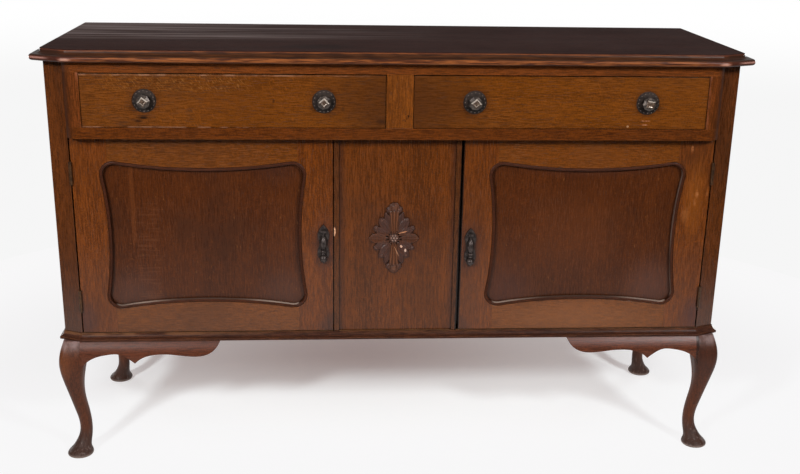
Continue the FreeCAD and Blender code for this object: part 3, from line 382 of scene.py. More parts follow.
highlight_height, highlight_size = top_low.z + 0.0058, (0.017, 0.02, 0.004)
top_oak = oak("top_oak", "X", top_pale, top_deep, seed=16.0, pores=0.4, nook_dirt_and_shade=0.2, worn_tint=top_worn,
              gloss=0.72, specular=0.07)
# A pale reflection is painted on the face at the back on the left.
back_left = (1 - ease(top_oak.x, -0.6, 0.25)) * ease(top_oak.y, -0.09, 0.02)
top_reflection = ease(mottle(top_oak.place, (1.6, 60.0, 1.0), 17.5, detail=5.0), 0.38, 0.68) * back_left
rub_in(top_oak, painted_top_reflection, top_reflection, by=0.95)
top_oak.rough = top_oak.rough - top_reflection * 0.2 - back_left * 0.05
rub_in(top_oak, top_stain, blot(top_oak.place, stain_centre, stain_size, soft=0.8), by=0.5)
joint_line = between(top_oak.y, board_joint - joint_half, board_joint + joint_half, 0.0008)
rub_in(top_oak, joint_dark, joint_line, by=0.6)
nose_streak = ease(mottle(top_oak.place, (24.0, 60.0, 420.0), 17.0, detail=5.0), 0.36, 0.66)
nose = SimpleNamespace(colour=stained(tint(*nose_deep), tint(*nose_pale), nose_streak))
from_middle = abs(top_oak.x)
rub_in(nose, nose_corner, ease(from_middle, 0.60, 0.70), by=0.6)
rub_in(nose, nose_cant, ease(from_middle, 0.692, 0.702), by=0.75)
rub_in(nose, hollow_dark, between(top_oak.z, nose_top - 0.0008, hollow_top - 0.002, 0.0015), by=0.8)
# The underside of the nose is painted dark as shade.
rub_in(nose, painted_under_shade, 1 - ease(top_oak.z, top_low.z + 0.001, top_low.z + 0.004), by=0.6)
# A thin highlight is painted on the nose at the tips of the cants.
corner_tip = ease(from_middle, 0.712, 0.735)
tip_highlight = corner_tip * between(top_oak.z, top_low.z + 0.006, top_low.z + 0.0085, 0.0012)
rub_in(nose, painted_tip_highlight, tip_highlight, by=0.6)
# A thin highlight is painted along the upper arris of the moulded edge.
rub_in(nose, painted_arris_highlight, ease(top_oak.z, hollow_top - 0.001, hollow_top + 0.001), by=0.6)
moulded_edge = 1 - ease(top_oak.z, hollow_top, top_high.z - 0.0005)
top_oak.colour = stained(top_oak.colour, nose.colour, moulded_edge * 0.9)
# A highlight is painted on the nose near each canted corner.
for highlight_x in (-0.682, 0.684):
    nose_highlight = blot(top_oak.place, (highlight_x, top_low.y, highlight_height), highlight_size, soft=0.8)
    rub_in(top_oak, painted_nose_highlight, nose_highlight, by=0.55)
top_oak.rough = top_oak.rough - moulded_edge * 0.32
polish = moulded_edge * 0.22
top_oak.material.node_tree.links.new(polish.socket, top_oak.shader.inputs["Coat Weight"])
top_oak.shader.inputs["Coat Roughness"].default_value = 0.36
lay_on(top_oak, "top_board")


# Middle of the front: a fixed oak panel between two narrow stiles that the doors close against.
# A splinter is off the left stile beside the lock, down to bare wood, and the right one is painted dark along
# its edge by the right door, as shade of the gap with dirt, widest at the foot.
middle_pale, middle_deep, middle_side = (104, 51, 11), (70, 33, 6), (46, 25, 18)
stile_pale, stile_deep = (88, 46, 17), (56, 28, 10)
middle_low, middle_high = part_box("centre_panel")
stile_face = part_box("centre_stiles")[0].y
panel_halo = spots_on(middle_low.y, 0.05, [
    (-0.006, 0.521, 0.085, 0.11, (56, 31, 24), 0.4),
    (0.075, 0.530, 0.06, 0.14, (60, 28, 10), 0.3)])
centre_panel_oak = oak("centre_panel_oak", "Z", middle_pale, middle_deep, seed=18.0, ticks=0.25,
                       smudges=panel_halo, specular=0.34)
panel_side = ease(abs(centre_panel_oak.x), middle_high.x - 0.0195, middle_high.x - 0.0005)
rub_in(centre_panel_oak, middle_side, panel_side, by=0.5)
lay_on(centre_panel_oak, "centre_panel")
splinter = spots_on(stile_face, 0.004, [(-0.1375, 0.536, 0.0032, 0.0125, (222, 164, 126), 1.0)])
stile_oak = oak("centre_stile_oak", "Z", stile_pale, stile_deep, seed=19.0, marks=splinter, specular=0.32)
# Painted shade of the gap beside the right door, with dirt, widest at the foot.
gap_shade_foot, gap_shade_start, gap_shade_lean = 0.3, 0.1350, 0.006
gap_shade_edge = gap_shade_start + (stile_oak.z - gap_shade_foot) * gap_shade_lean
rub_in(stile_oak, dark_dirt_and_shade, ease(stile_oak.x - gap_shade_edge, 0.0, 0.0008), by=0.92)
lay_on(stile_oak, "centre_stiles")


# Carved patera: a flower of leaves, fluted tongues and a beaded boss, carved in oak in low relief and
# glued to the middle panel. Its hollows are dark with old polish, its boss is painted with a highlight,
# and a few edges are chipped to bare wood. It is worked out in millimetres from its middle.
patera_low, patera_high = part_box("carved_patera")
patera_x, patera_z = (patera_low.x + patera_high.x) / 2, (patera_low.z + patera_high.z) / 2
patera_back = patera_high.y
half_width = (patera_high.x - patera_low.x) / 2 * 1000
half_height = (patera_high.z - patera_low.z) / 2 * 1000
ground = 1.6


def leaf(across, up, angle, start, end, half, fullness, lift, dish, rib):
    """A dished leaf with a rim and a midrib: how far inside its edge each point is, and its height."""
    rim_width, rib_width, rib_fade, far_outside = 1.3, 1.1, 2.0, -9.0
    turn = math.radians(angle)
    reach = across * math.cos(turn) + up * math.sin(turn)
    aside = up * math.cos(turn) - across * math.sin(turn)
    share = np.clip((reach - start) / (end - start), 0, 1)
    width = half * np.sin(math.pi * share ** fullness) ** 0.75
    inside = np.where((reach > start) & (reach < end), width - np.abs(aside), far_outside)
    spread = np.clip(np.abs(aside) / np.maximum(width, 0.3), 0, 1)
    hollow = (1 - dish) + dish * spread ** 2
    height = ground + lift * hollow * np.clip(inside / rim_width, 0, 1) ** 0.5
    height += rib * np.exp(-(aside / rib_width) ** 2) * np.clip(inside / rib_fade, 0, 1)
    return inside, np.where(inside > 0, height, 0.0)


def scroll(across, up, centre, radius, lift, ring):
    """A round lobe or scroll end with a sunk ring round its eye."""
    ring_radius, ring_width = 0.58 * radius, 0.16 * radius
    reach = np.hypot(across - centre[0], up - centre[1])
    height = ground + lift * np.sqrt(np.clip(1 - (reach / radius) ** 2, 0, 1))
    height -= ring * np.exp(-((reach - ring_radius) / ring_width) ** 2)
    return radius - reach, np.where(reach < radius, height, 0.0)


def tongue(across, up, start, end, base_half, end_half, lift):
    """A tongue that widens from the boss, with two hollow flutes."""
    flute_count, flute_depth, rim_width = 3, 0.28, 1.2
    share = np.clip((up - start) / (end - start), 0, 1)
    width = base_half + (end_half - base_half) * share ** 1.3
    inside = np.minimum(np.minimum(width - np.abs(across), up - start), end - up)
    flute = 1 - flute_depth + flute_depth * np.cos(np.abs(across) / width * math.pi * flute_count)
    height = ground + lift * flute * np.clip(inside / rim_width, 0, 1) ** 0.5
    return inside, np.where(inside > 0, height, 0.0)


def carving(across, up):
    """The whole ornament over a plane of points: how far inside its outline they are, and their height."""
    cuts = []
    for side in (1, -1):
        cuts.append(leaf(across * side, up, 0, 9.0, 56.0, 11.5, 1.5, 3.4, 0.55, 0.9))
    for way in (1, -1):
        rise = up * way
        cuts.append(tongue(across, rise, 8.0, 63.0, 5.5, 12.5, 3.8))
        cuts.append(scroll(across, rise, (0.0, 70.0), 12.0, 3.6, 0.8))
        for side in (1, -1):
            run = across * side
            cuts.append(scroll(run, rise, (11.0, 65.5), 7.0, 3.2, 0.9))
            cuts.append(leaf(run, rise, 29, 9.0, 51.0, 9.0, 1.25, 3.0, 0.6, 0.8))
            cuts.append(scroll(run, rise, (40.5, 23.0), 5.2, 3.6, 1.2))
            cuts.append(leaf(run, rise, 54, 9.0, 56.0, 9.5, 1.3, 3.2, 0.6, 0.8))
            cuts.append(scroll(run, rise, (27.0, 40.5), 6.4, 3.8, 1.5))
            cuts.append(leaf(run, rise, 72, 12.0, 63.0, 7.5, 1.3, 2.4, 0.5, 0.5))
    cuts.append(scroll(across, up, (0.0, 0.0), 11.5, 2.4, 0.0))
    bead_count, bead_ring = 6, 6.4
    for bead in range(bead_count):
        turn = math.tau * bead / bead_count
        centre = (bead_ring * math.cos(turn), bead_ring * math.sin(turn))
        cuts.append(scroll(across, up, centre, 3.2, 4.6, 0.0))
    cuts.append(scroll(across, up, (0.0, 0.0), 3.4, 5.6, 0.0))
    return np.max([cut[0] for cut in cuts], axis=0), np.max([cut[1] for cut in cuts], axis=0)


grid_pitch = 0.7
steps_across = np.arange(-half_width, half_width + grid_pitch, grid_pitch)
steps_up = np.arange(-half_height, half_height + grid_pitch, grid_pitch)
across, up = (axis.ravel() for axis in np.meshgrid(steps_across, steps_up))
inside, _ = carving(across, up)
kept = (inside > 0).reshape(len(steps_up), len(steps_across))
cells = kept[:-1, :-1] & kept[1:, :-1] & kept[:-1, 1:] & kept[1:, 1:]
row, column = np.nonzero(cells)
wide = len(steps_across)
corners = np.stack([row * wide + column, row * wide + column + 1,
                    (row + 1) * wide + column + 1, (row + 1) * wide + column], axis=1)
used, flat_corners = np.unique(corners, return_inverse=True)
corners = flat_corners.reshape(corners.shape)
across, up = across[used], up[used]
sides = np.concatenate([corners[:, [k, (k + 1) % 4]] for k in range(4)])
pairs = {(a, b) for a, b in sides.tolist()}
outline = [(a, b) for a, b in pairs if (b, a) not in pairs]
edge = np.array(sorted({a for a, b in outline}))
probe, longest_step, ease_out = 0.1, 0.5, 0.6
for _ in range(2):
    here, _ = carving(across[edge], up[edge])
    slope_x = (carving(across[edge] + probe, up[edge])[0] - here) / probe
    slope_z = (carving(across[edge], up[edge] + probe)[0] - here) / probe
    step = np.clip(here, 0, longest_step) / np.maximum(slope_x ** 2 + slope_z ** 2, 0.4)
    across[edge] -= step * slope_x * ease_out
    up[edge] -= step * slope_z * ease_out
_, height = carving(across, up)
height = np.maximum(height, ground)
front_points = np.stack([patera_x + across / 1000, patera_back - height / 1000, patera_z + up / 1000], axis=1)
back_points = front_points.copy()
back_points[:, 1] = patera_back
count = len(used)
front_faces = corners.tolist()
patera_faces = front_faces + [[count + c for c in reversed(face)] for face in front_faces]
patera_faces += [[b, a, count + a, count + b] for a, b in outline]
patera_mesh = bpy.data.meshes.new("patera_carving")
patera_mesh.from_pydata(np.concatenate([front_points, back_points]).tolist(), [], patera_faces)
patera_mesh.validate()
smooth = [index < len(front_faces) for index in range(len(patera_mesh.polygons))]
patera_mesh.polygons.foreach_set("use_smooth", smooth)
patera = bpy.data.objects.new("patera_carving", patera_mesh)
bpy.context.scene.collection.objects.link(patera)
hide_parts("carved_patera")
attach(patera, "case")
patera_pale, patera_deep, ground_dark, crest_rubbed = (102, 54, 27), (68, 35, 17), (34, 19, 15), (122, 84, 66)
spray_grey, tongue_warm, painted_boss_highlight = (56, 38, 37), (118, 66, 30), (150, 122, 110)
patera_oak = oak("patera_oak", "Z", patera_pale, patera_deep, seed=20.0, worn=0.2, gloss=0.38, nook_dirt_and_shade=0.95,
                 nook=0.005, specular=0.3)
relief = ease(patera_back - patera_oak.y, 0.0016, 0.0062)
rub_in(patera_oak, ground_dark, 1 - relief, by=0.45)
rub_in(patera_oak, crest_rubbed, ease(relief, 0.6, 1.0), by=0.3)
from_side, from_height = abs(patera_oak.x - patera_x), abs(patera_oak.z - patera_z)
sprays = ease(from_side, 0.008, 0.014) * ease(from_height, 0.008, 0.016)
rub_in(patera_oak, spray_grey, sprays, by=0.4)
tongues = (1 - ease(from_side, 0.006, 0.011)) * between(from_height, 0.018, 0.056, 0.006)
rub_in(patera_oak, tongue_warm, tongues * relief, by=0.4)
# A highlight is painted on the raised boss.
patera_boss_highlight = blot(patera_oak.place, (patera_x, patera_back, patera_z), (0.011, 0.02, 0.011), soft=0.4)
rub_in(patera_oak, painted_boss_highlight, patera_boss_highlight * ease(relief, 0.5, 0.9), by=0.55)
chip_y = patera_back - 0.005
chips = [((0.0035, 0.5318), (0.0236, 0.5371), 0.0016, (176, 116, 78)),
         ((0.0096, 0.5026), (0.0110, 0.5010), 0.0030, (212, 166, 140)),
         ((0.0194, 0.4945), (0.0196, 0.4905), 0.0028, (208, 172, 152)),
         ((-0.0062, 0.5030), (0.0056, 0.4779), 0.0012, (166, 118, 88))]
for start, end, half, chip_tint in chips:
    centre = ((start[0] + end[0]) / 2, chip_y, (start[1] + end[1]) / 2)
    length = math.dist(start, end) / 2
    slant = math.atan2(end[1] - start[1], end[0] - start[0])
    chip = blot(turned(patera_oak.place, slant, centre), centre, (length + half, 0.02, half), soft=0.35)
    rub_in(patera_oak, chip_tint, chip, by=0.85)
lay_on(patera_oak)
patera_mesh.materials.append(patera_oak.material)


# Door frames: two stiles and two tenoned rails of golden oak to each door, round a shaped opening.
# They are dark with hand dirt beside the pulls and at the foot, and dented on the right; the meeting edge of
# the right door is painted dark as shade of the gap, with dirt.
door_stile_pale, door_stile_deep = (112, 55, 11), (76, 35, 6)
door_rail_pale, door_rail_deep = (113, 59, 14), (80, 40, 8)
door_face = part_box("left_door_stiles")[0].y
hand_dirt = spots_on(door_face, 0.03, [
    (-0.160, 0.508, 0.04, 0.1, (58, 32, 28), 0.5),
    (0.163, 0.499, 0.04, 0.1, (58, 32, 28), 0.5),
    (-0.150, 0.312, 0.035, 0.05, (44, 26, 22), 0.6),
    (0.152, 0.312, 0.03, 0.05, (44, 26, 22), 0.5),
    (-0.692, 0.330, 0.045, 0.07, (58, 36, 34), 0.6),
    (0.690, 0.330, 0.045, 0.07, (62, 34, 32), 0.6),
    (0.170, 0.540, 0.05, 0.30, (66, 32, 10), 0.3),
    (0.420, 0.330, 0.26, 0.06, (150, 92, 50), 0.25),
    (-0.420, 0.325, 0.30, 0.06, (78, 44, 22), 0.35),
    (0.165, 0.360, 0.05, 0.10, (72, 38, 18), 0.35),
    (0.646, 0.572, 0.013, 0.024, (170, 104, 56), 0.25),
    (0.664, 0.610, 0.034, 0.13, (150, 82, 22), 0.3)])
door_dents = spots_on(door_face, 0.01, [
    (0.6916, 0.619, 0.003, 0.016, (150, 92, 52), 0.4),
    (0.6650, 0.602, 0.003, 0.012, (156, 96, 54), 0.4),
    (0.6685, 0.622, 0.004, 0.012, (168, 104, 60), 0.55),
    (0.6480, 0.724, 0.004, 0.010, (168, 104, 60), 0.55)])
door_stile_oak = oak("door_stile_oak", "Z", door_stile_pale, door_stile_deep, seed=21.0, flecks=0.3,
                     smudges=hand_dirt, marks=door_dents)
meeting_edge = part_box("right_door_stiles")[0].x
# The meeting edge of the right door is painted dark as shade of the gap, with dirt.
meeting_gap_shade = between(door_stile_oak.x, meeting_edge - 0.0035, meeting_edge + 0.0015, 0.0012)
rub_in(door_stile_oak, dark_dirt_and_shade, meeting_gap_shade, by=0.85)
lay_on(door_stile_oak, "left_door_stiles", "right_door_stiles")
lay_on(oak("door_rail_oak", "X", door_rail_pale, door_rail_deep, seed=22.0, flecks=0.3, smudges=hand_dirt),
       "left_door_rails", "right_door_rails")


# Door panels: one thin oak board in a groove of each frame, with its grain upright, redder than the
# frame. Pale patches of dust and of painted sheen lie in the corners and along the top, and the left one
# is scraped and shows a ripple of the saw.
door_panel_pale, door_panel_deep = (84, 40, 12), (58, 26, 8)
scrape_pale, ripple_pale = (124, 66, 30), (122, 76, 52)
panel_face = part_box("left_door_panel")[0].y
# Patches of dust, and of painted sheen of reflected light, in the corners and along the top.
dust_and_painted_sheen = spots_on(panel_face, 0.03, [
    (-0.585, 0.385, 0.09, 0.09, (84, 62, 56), 0.26),
    (-0.250, 0.385, 0.09, 0.09, (84, 62, 56), 0.22),
    (0.250, 0.390, 0.09, 0.09, (70, 44, 40), 0.3),
    (0.585, 0.400, 0.09, 0.1, (90, 64, 58), 0.28),
    (0.400, 0.540, 0.16, 0.13, (112, 60, 30), 0.2),
    (-0.260, 0.680, 0.08, 0.06, (52, 30, 24), 0.4),
    (0.420, 0.690, 0.2, 0.04, (96, 58, 48), 0.3),
    (-0.400, 0.690, 0.2, 0.03, (92, 54, 42), 0.3)])
door_panel_oak = oak("door_panel_oak", "Z", door_panel_pale, door_panel_deep, seed=23.0, pores=0.2,
                     flecks=0.3, gloss=0.25, figure=0.75, blotch=0.45, ticks=0.45, smudges=dust_and_painted_sheen,
                     specular=0.26)
scrape = between(door_panel_oak.x, -0.577, -0.570, 0.002) * between(door_panel_oak.z, 0.52, 0.68, 0.02)
rub_in(door_panel_oak, scrape_pale, scrape, by=0.22)
ripple = ease(mottle(door_panel_oak.place, (12.0, 12.0, 260.0), 23.5, detail=2.0), 0.52, 0.64)
rippled = between(door_panel_oak.x, -0.562, -0.526, 0.012) * between(door_panel_oak.z, 0.38, 0.59, 0.03)
rub_in(door_panel_oak, ripple_pale, rippled * ripple, by=0.16)
lay_on(door_panel_oak, "left_door_panel", "right_door_panel")


# Door beads: a thin round moulding of dark oak, glued round the edge of each shaped opening.
# It is painted pale as a highlight where it looks up along the bottom, and in a thin line down the right.
def facing(place, axis):
    """How far the surface faces along X, Y or Z, from -1 to 1."""
    normal = place.make("NewGeometry", None, None, out="Normal")
    return place.make("SeparateXYZ", None, {0: normal}, out="XYZ".index(axis))


bead_pale, bead_deep, painted_bead_highlight, painted_bead_side_highlight = (72, 34, 15), (48, 22, 10), (214, 190, 172), (176, 148, 134)
opening_middle = 0.42
bead_oak = oak("door_bead_oak", "X", bead_pale, bead_deep, seed=24.0, gloss=0.4, worn=0.1, specular=0.14)
patchy = ease(mottle(bead_oak.place, (7.0, 7.0, 7.0), 24.5, detail=2.0), 0.35, 0.65)
# A highlight is painted on the lower run where it looks up, strongest near the corners.
lower_highlight_run = ease(facing(bead_oak.place, "Z"), 0.82, 0.97) * (1 - ease(bead_oak.z, 0.40, 0.43))
by_corner = ease(abs(abs(bead_oak.x) - opening_middle), 0.06, 0.15) * 0.42 + 0.14
rub_in(bead_oak, painted_bead_highlight, lower_highlight_run * (patchy * 0.5 + 0.5) * by_corner)
# A thin highlight is painted down the right run of the bead.
right_highlight_run = ease(bead_oak.x, 0.5, 0.55) * between(bead_oak.z, 0.39, 0.66, 0.03)
right_highlight_run = right_highlight_run * ease(0 - facing(bead_oak.place, "X"), 0.82, 0.98)
rub_in(bead_oak, painted_bead_side_highlight, right_highlight_run * (patchy * 0.2 + 0.08))
lay_on(bead_oak, "left_door_bead", "right_door_bead")


# Hinges and locks: brass butts, one leaf on the door stile and one on the post, with a pin through their
# knuckles, and iron cupboard locks let into the door stiles. The brass is brown with age, the iron dull.
metal_grime = (20, 15, 12)
brass_pale, brass_deep = (92, 60, 32), (54, 34, 19)
iron_pale, iron_deep = (120, 116, 112), (70, 64, 60)


def metal(name, pale, deep, seed, gloss=0.35, scale=160.0, bare=0.55):
    """Old metal: a worn face colour over a dark one, with grime in the hollows."""
    finish = bare_finish(name)
    place = finish.place
    cloud = mottle(place, (scale, scale, scale), seed, detail=4.0)
    pit_scale = scale * 5
    pit = mottle(place, (pit_scale, pit_scale, pit_scale), seed + 1.0, detail=2.0)
    open_air = place.make("AmbientOcclusion", {"samples": 4}, {"Distance": 0.006}, out="AO")
    shut = 1 - ease(open_air, 0.3, 0.9)
    finish.colour = stained(tint(*deep), tint(*pale), ease(cloud, 0.35, 0.7))
    rub_in(finish, metal_grime, shut, by=0.85)
    finish.rough = (cloud - 0.5) * 0.25 + shut * 0.3 + gloss
    finish.height = cloud * 0.4 + pit * 0.3
    finish.rounded = None
    finish.bump = 0.3
    finish.specular = 0.5
    finish.shader.inputs["Metallic"].default_value = bare
    return finish


lay_on(metal("hinge_brass", brass_pale, brass_deep, seed=30.0, bare=0.4),
       "hinge_case_leaves", "hinge_pins", "left_hinge_leaves", "right_hinge_leaves")
lay_on(metal("lock_iron", iron_pale, iron_deep, seed=31.0),
       "left_lock_case", "right_lock_case", "left_lock_bolt", "right_lock_bolt")


# Pulls: a cast plate with a keyhole on each door, and a drop that swings on a pin at the plate's head.
# Brass, bronzed almost black.
pull_pale, pull_deep = (80, 69, 65), (44, 35, 32)
lay_on(metal("pull_bronze", pull_pale, pull_deep, seed=32.0, gloss=0.42),
       "left_pull_plate", "right_pull_plate", "left_pull_drop", "right_pull_drop")


# Drawers: golden oak fronts lap-dovetailed to plain sides, with a thin bottom board in a groove.
# The fronts are dark round the knobs and at their inner ends, chafed pale along two edges, and painted dark
# as shade of the gap along their top edge.
drawer_pale, drawer_deep = (112, 59, 12), (78, 39, 7)
edge_chafed, painted_gap_shade, hatch_pale, knob_smudge = (176, 130, 104), (20, 9, 4), (166, 110, 54), (52, 28, 16)
drawer_low, drawer_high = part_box("left_drawer_front")
drawer_marks = spots_on(drawer_low.y, 0.01, [
    (-0.2644, 0.8308, 0.0035, 0.007, (48, 24, 8), 0.7),
    (0.5305, 0.7916, 0.012, 0.0016, (178, 118, 84), 0.9),
    (0.5291, 0.7828, 0.009, 0.0014, (178, 118, 84), 0.8),
    (0.4911, 0.7794, 0.003, 0.0028, (196, 150, 110), 0.9)])
drawer_smudges = spots_on(drawer_low.y, 0.03, [
    (-0.1196, 0.8146, 0.007, 0.007, (44, 22, 8), 0.6),
    (-0.0393, 0.7880, 0.016, 0.011, (38, 19, 8), 0.75),
    (-0.34, 0.83, 0.17, 0.09, (84, 42, 10), 0.3),
    (-0.5345, 0.7945, 0.017, 0.0055, (18, 8, 3), 0.95),
    (-0.5457, 0.7872, 0.013, 0.0055, (34, 16, 6), 0.8),
    (-0.05, 0.83, 0.14, 0.12, (58, 28, 8), 0.5),
    (0.07, 0.83, 0.14, 0.12, (58, 28, 8), 0.5)])
inner_knob, outer_knob, smudge_height, smudge_half = 0.1592, 0.5312, 0.83, 0.045
drawer_smudges += spots_on(drawer_low.y, 0.03, [
    (knob_x, smudge_height, smudge_half, smudge_half, knob_smudge, 0.5)
    for knob_x in (-outer_knob, -inner_knob, inner_knob, outer_knob)])
drawer_oak = oak("drawer_front_oak", "X", drawer_pale, drawer_deep, seed=25.0, flecks=0.4,
                 marks=drawer_marks, smudges=drawer_smudges, specular=0.3)
chafe = ease(mottle(drawer_oak.place, (52.0, 52.0, 52.0), 25.5), 0.44, 0.62)
lower_edge = 1 - ease(drawer_oak.z, drawer_low.z + 0.0012, drawer_low.z + 0.0020)
lower_edge = lower_edge * (1 - ease(drawer_oak.x, -0.45, -0.2))
upper_edge = between(drawer_oak.z, drawer_high.z - 0.0035, drawer_high.z - 0.0012, 0.001)
upper_edge = upper_edge * (1 - ease(drawer_oak.x, -0.30, 0.1))
rub_in(drawer_oak, edge_chafed, lower_edge * chafe * 0.6 + upper_edge * (chafe * 0.28 + 0.06))
# The top edge is painted dark as shade of the gap above the drawer.
top_gap_shade = ease(drawer_oak.z, drawer_high.z - 0.0010, drawer_high.z - 0.0002)
rub_in(drawer_oak, painted_gap_shade, top_gap_shade, by=0.8)
hatch_slant = 0.7
slanted = turned(drawer_oak.place, hatch_slant)
hatch = ease(mottle(slanted, (460.0, 110.0, 110.0), 25.7, detail=2.0), 0.52, 0.68)
hatched = between(drawer_oak.z, drawer_high.z - 0.030, drawer_high.z - 0.002, 0.012)
hatched = hatched * between(drawer_oak.x, -0.59, -0.34, 0.05)
rub_in(drawer_oak, hatch_pale, hatch * hatched, by=0.34)
lay_on(drawer_oak, "left_drawer_front", "right_drawer_front")
lay_on(oak("drawer_side_wood", "Y", plain_pale, plain_deep, seed=26.0, **unpolished),
       "left_drawer_box", "right_drawer_box")
lay_on(oak("drawer_bottom_wood", "X", plain_pale, plain_deep, seed=27.0, **unpolished),
       "left_drawer_bottom", "right_drawer_bottom")


# Knobs: cast and bronzed brass, two on each drawer, on round plates with a beaded rim, held by a shank
# and a nut. Each plate is painted with a sheen at its head and shade at its foot. A square boss on each knob
# is painted bright as a highlight on the sides that look up, and dark as shade on those that look down.
plate_pale, plate_deep = (60, 46, 39), (30, 22, 18)
painted_plate_sheen, painted_plate_shade, bead_bright = (98, 86, 80), (16, 11, 9), (128, 110, 100)
knob_pale, knob_deep = (96, 84, 76), (52, 43, 38)
boss_pale, boss_deep, painted_boss_gleam, painted_boss_shade = (132, 106, 88), (70, 54, 44), (226, 212, 198), (52, 46, 40)
knobs_low, knobs_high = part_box("left_knobs")
knob_height = (knobs_low.z + knobs_high.z) / 2
plate_bronze = metal("knob_plate_bronze", plate_pale, plate_deep, seed=33.0, gloss=0.46, bare=0.4)
plate_up = plate_bronze.z - knob_height
# Each plate is painted with a sheen at its head and shade at its foot.
rub_in(plate_bronze, painted_plate_sheen, ease(plate_up, 0.008, 0.022), by=0.25)
rub_in(plate_bronze, painted_plate_shade, 1 - ease(plate_up, -0.016, -0.002), by=0.55)
bead_crowns = ease(drawer_low.y - plate_bronze.y, 0.0033, 0.0043)
rub_in(plate_bronze, bead_bright, bead_crowns, by=0.6)
lay_on(plate_bronze, "left_knob_plates", "right_knob_plates")
lay_on(metal("knob_bronze", knob_pale, knob_deep, seed=34.0, gloss=0.36, bare=0.45),
       "left_knobs", "right_knobs")
boss_bronze = metal("knob_boss_bronze", boss_pale, boss_deep, seed=35.0, gloss=0.3, scale=420.0, bare=0.45)
boss_upward = facing(boss_bronze.place, "Z")
# Facets that look up are painted bright as a highlight, those that look down dark as shade.
rub_in(boss_bronze, painted_boss_gleam, ease(boss_upward, 0.08, 0.3), by=0.7)
rub_in(boss_bronze, painted_boss_shade, 1 - ease(boss_upward, -0.3, -0.08), by=0.7)
lay_on(boss_bronze)
boss_half, boss_table, boss_dish = 0.0118, 0.0084, 0.0066
boss_foot, boss_shoulder, boss_rise, boss_sink = 0.0012, 0.0003, 0.0018, 0.0014
boss_rings = [(boss_half * 0.9, boss_foot), (boss_half, boss_shoulder), (boss_table, -boss_rise),
              (boss_dish, -boss_rise), (boss_dish * 0.7, -boss_sink)]
knob_spread = 0.186
boss_turns = {"left": {"outer": (-1, 8), "inner": (1, -4)},
              "right": {"inner": (-1, -4), "outer": (1, 35)}}
for side, turns in boss_turns.items():
    low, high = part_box(side + "_knobs")
    for position, (way, turn) in turns.items():
        middle = Vector(((low.x + high.x) / 2 + way * knob_spread, low.y, (low.z + high.z) / 2))
        angles = [math.radians(turn + 90 * k) for k in range(4)]
        boss_points = [middle + Vector((reach * math.cos(angle), depth, reach * math.sin(angle)))
                       for reach, depth in boss_rings for angle in angles]
        boss_faces = []
        for first in range(0, 16, 4):
            for k in range(4):
                after = (k + 1) % 4
                boss_faces.append([first + k, first + after, first + 4 + after, first + 4 + k])
        boss_faces += [[16, 17, 18, 19], [3, 2, 1, 0]]
        boss_mesh = bpy.data.meshes.new(f"{side}_{position}_knob_boss")
        boss_mesh.from_pydata(boss_points, [], boss_faces)
        boss_mesh.validate()
        boss_mesh.materials.append(boss_bronze.material)
        boss = bpy.data.objects.new(boss_mesh.name, boss_mesh)
        bpy.context.scene.collection.objects.link(boss)
        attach(boss, side + "_drawer")


# Studio floor: a round sheet of pale paper that fades to white in front, beside and far behind, and
# keeps the shadow under the case. What the camera sees is lit a little by itself, so that it is pale,
# and less under the case, where the shadow is painted deeper.
floor_radius, floor_sides = 1.75, 96
floor_turns = [math.tau * side / floor_sides for side in range(floor_sides)]
floor_rim = [(floor_radius * math.cos(turn), floor_radius * math.sin(turn), 0.0) for turn in floor_turns]
floor_mesh = bpy.data.meshes.new("studio_floor")
floor_mesh.from_pydata(floor_rim, [], [list(range(floor_sides))])
floor = bpy.data.objects.new("studio_floor", floor_mesh)
bpy.context.scene.collection.objects.link(floor)
paper = bare_finish("studio_paper")
paper_tint, paper_glow = (0.875, 0.965, 0.985), (0.25, 0.195, 0.19)
shade_glow, white_glow = (0.12, 0.055, 0.05), (0.935, 0.93, 0.935)
paper.shader.inputs["Base Color"].default_value = (*paper_tint, 1.0)
paper.shader.inputs["Roughness"].default_value = 0.9
paper.shader.inputs["Specular IOR Level"].default_value = 0.1
sheet = Wire(paper.shader.outputs[0])


def lit(colour):
    """Light of that colour from the paper itself."""
    return paper.place.make("Emission", None, {"Color": (*colour, 1.0), "Strength": 1.0})


def mixed(amount, first, second):
    """The first shader below an amount of 0, the second above 1."""
    return sheet.make("MixShader", None, {0: amount, 1: first, 2: second})


lit_paper = sheet.make("AddShader", None, {0: sheet, 1: lit(paper_glow)})
shaded_paper = sheet.make("AddShader", None, {0: sheet, 1: lit(shade_glow)})
# Under the case the paper lights itself less: a painted deepening of the shadow.
painted_shadow_under_case = blot(paper.place, (-0.06, 0.36, 0.0), (0.66, 0.5, 1.0), soft=1.0)
beside = 1 - ease(abs(paper.x), 0.62, 0.85) * 0.75
behind_front = ease(paper.y, -0.30, 0.36) * 0.97 + 0.03
from_centre = paper.place.make("VectorMath", {"operation": "LENGTH"}, {0: paper.place}, out="Value")
plain_white = 1 - beside * behind_front * (1 - ease(from_centre, 0.95, 1.65))
shown = mixed(plain_white, mixed(painted_shadow_under_case, lit_paper, shaded_paper), lit(white_glow))
rays = [paper.place.make("LightPath", None, None, out=f"Is {kind} Ray")
        for kind in ("Camera", "Glossy", "Transmission")]
laid = mixed(rays[0] + rays[1] + rays[2], sheet, shown)
paper.material.node_tree.links.new(laid.socket, paper.end.inputs[0])
floor_mesh.materials.append(paper.material)


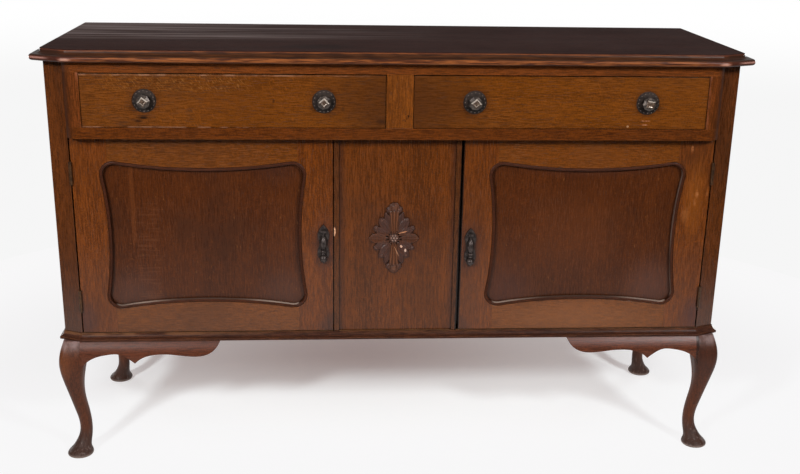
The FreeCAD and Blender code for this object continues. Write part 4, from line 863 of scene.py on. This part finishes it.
# Studio room and lamps: a dim white room that looks white to the camera, two soft boxes in front, a
# faint one overhead, and two low ones behind for the ends and the back.
world = bpy.data.worlds.new("studio")
bpy.context.scene.world = world
world.use_nodes = True
sky = world.node_tree
sky.nodes.clear()
path = sky.nodes.new("ShaderNodeLightPath")
seen = Wire(path.outputs["Is Camera Ray"])
glossy = Wire(path.outputs["Is Glossy Ray"])
through = Wire(path.outputs["Is Transmission Ray"])
look = Wire(sky.nodes.new("ShaderNodeTexCoord").outputs["Generated"])
look_back, look_up = (look.make("SeparateXYZ", None, {0: look}, out=axis) for axis in (1, 2))
behind, above = ease(look_back, -0.2, 0.5), ease(look_up, -0.17, -0.1)
room_light, room_white = 0.12, 0.8 + above * 0.08
room = room_light + (seen + through + glossy * behind * 0.4) * room_white - glossy * (1 - behind) * 0.09
background = sky.nodes.new("ShaderNodeBackground")
background.inputs["Color"].default_value = (1, 1, 1, 1)
sky.links.new(room.socket, background.inputs["Strength"])
world_end = sky.nodes.new("ShaderNodeOutputWorld")
sky.links.new(background.outputs[0], world_end.inputs[0])


def soft_box(name, place, aim, size, power):
    """A flat soft lamp at place, turned to aim, unseen by the camera."""
    light = bpy.data.lights.new(name, "AREA")
    light.shape = "RECTANGLE"
    light.size, light.size_y = size
    light.energy = power
    lamp = bpy.data.objects.new(name, light)
    lamp.location = place
    lamp.rotation_euler = (Vector(aim) - Vector(place)).to_track_quat("-Z", "Y").to_euler()
    lamp.visible_camera = False
    bpy.context.scene.collection.objects.link(lamp)


doors, case_middle, back_middle = (0, 0, 0.4), (0, 0, 0.5), (0, 0, 0.55)
soft_box("left_soft_box", (-2.06, -3.0, 2.18), doors, size=(0.36, 0.36), power=98)
soft_box("right_soft_box", (2.2, -2.8, 2.5), doors, size=(0.45, 0.45), power=89)
soft_box("overhead_soft_box", (0.0, -1.0, 3.0), case_middle, size=(2.4, 1.4), power=4)
soft_box("left_back_soft_box", (-2.6, 2.2, 0.6), back_middle, size=(1.0, 0.5), power=26)
soft_box("right_back_soft_box", (2.6, 2.2, 0.6), back_middle, size=(1.0, 0.5), power=26)


# Camera: stands 2.2 m in front of the drawers and 0.3 m above the top, turned slightly to the right
# and down, with the lens that the lines of the case give.
eye = Vector((-0.1530, -2.4485, 1.2494))
yaw, pitch, roll = (math.radians(angle) for angle in (4.066, 17.81, 1.051))
view_line = Vector((math.sin(yaw) * math.cos(pitch), math.cos(yaw) * math.cos(pitch), -math.sin(pitch)))
level = Vector((math.cos(yaw), -math.sin(yaw), 0))
plumb = level.cross(view_line)
view_right = math.cos(roll) * level + math.sin(roll) * plumb
view_up = math.cos(roll) * plumb - math.sin(roll) * level
lens = bpy.data.cameras.new("camera")
lens.lens = 48.23
lens.sensor_width = 36.0
lens.clip_end = 50
camera = bpy.data.objects.new("camera", lens)
stance = Matrix((view_right, view_up, -view_line)).transposed()
camera.matrix_world = Matrix.Translation(eye) @ stance.to_4x4()
bpy.context.scene.collection.objects.link(camera)
bpy.context.scene.camera = camera
bpy.context.scene.view_settings.view_transform = "Standard"
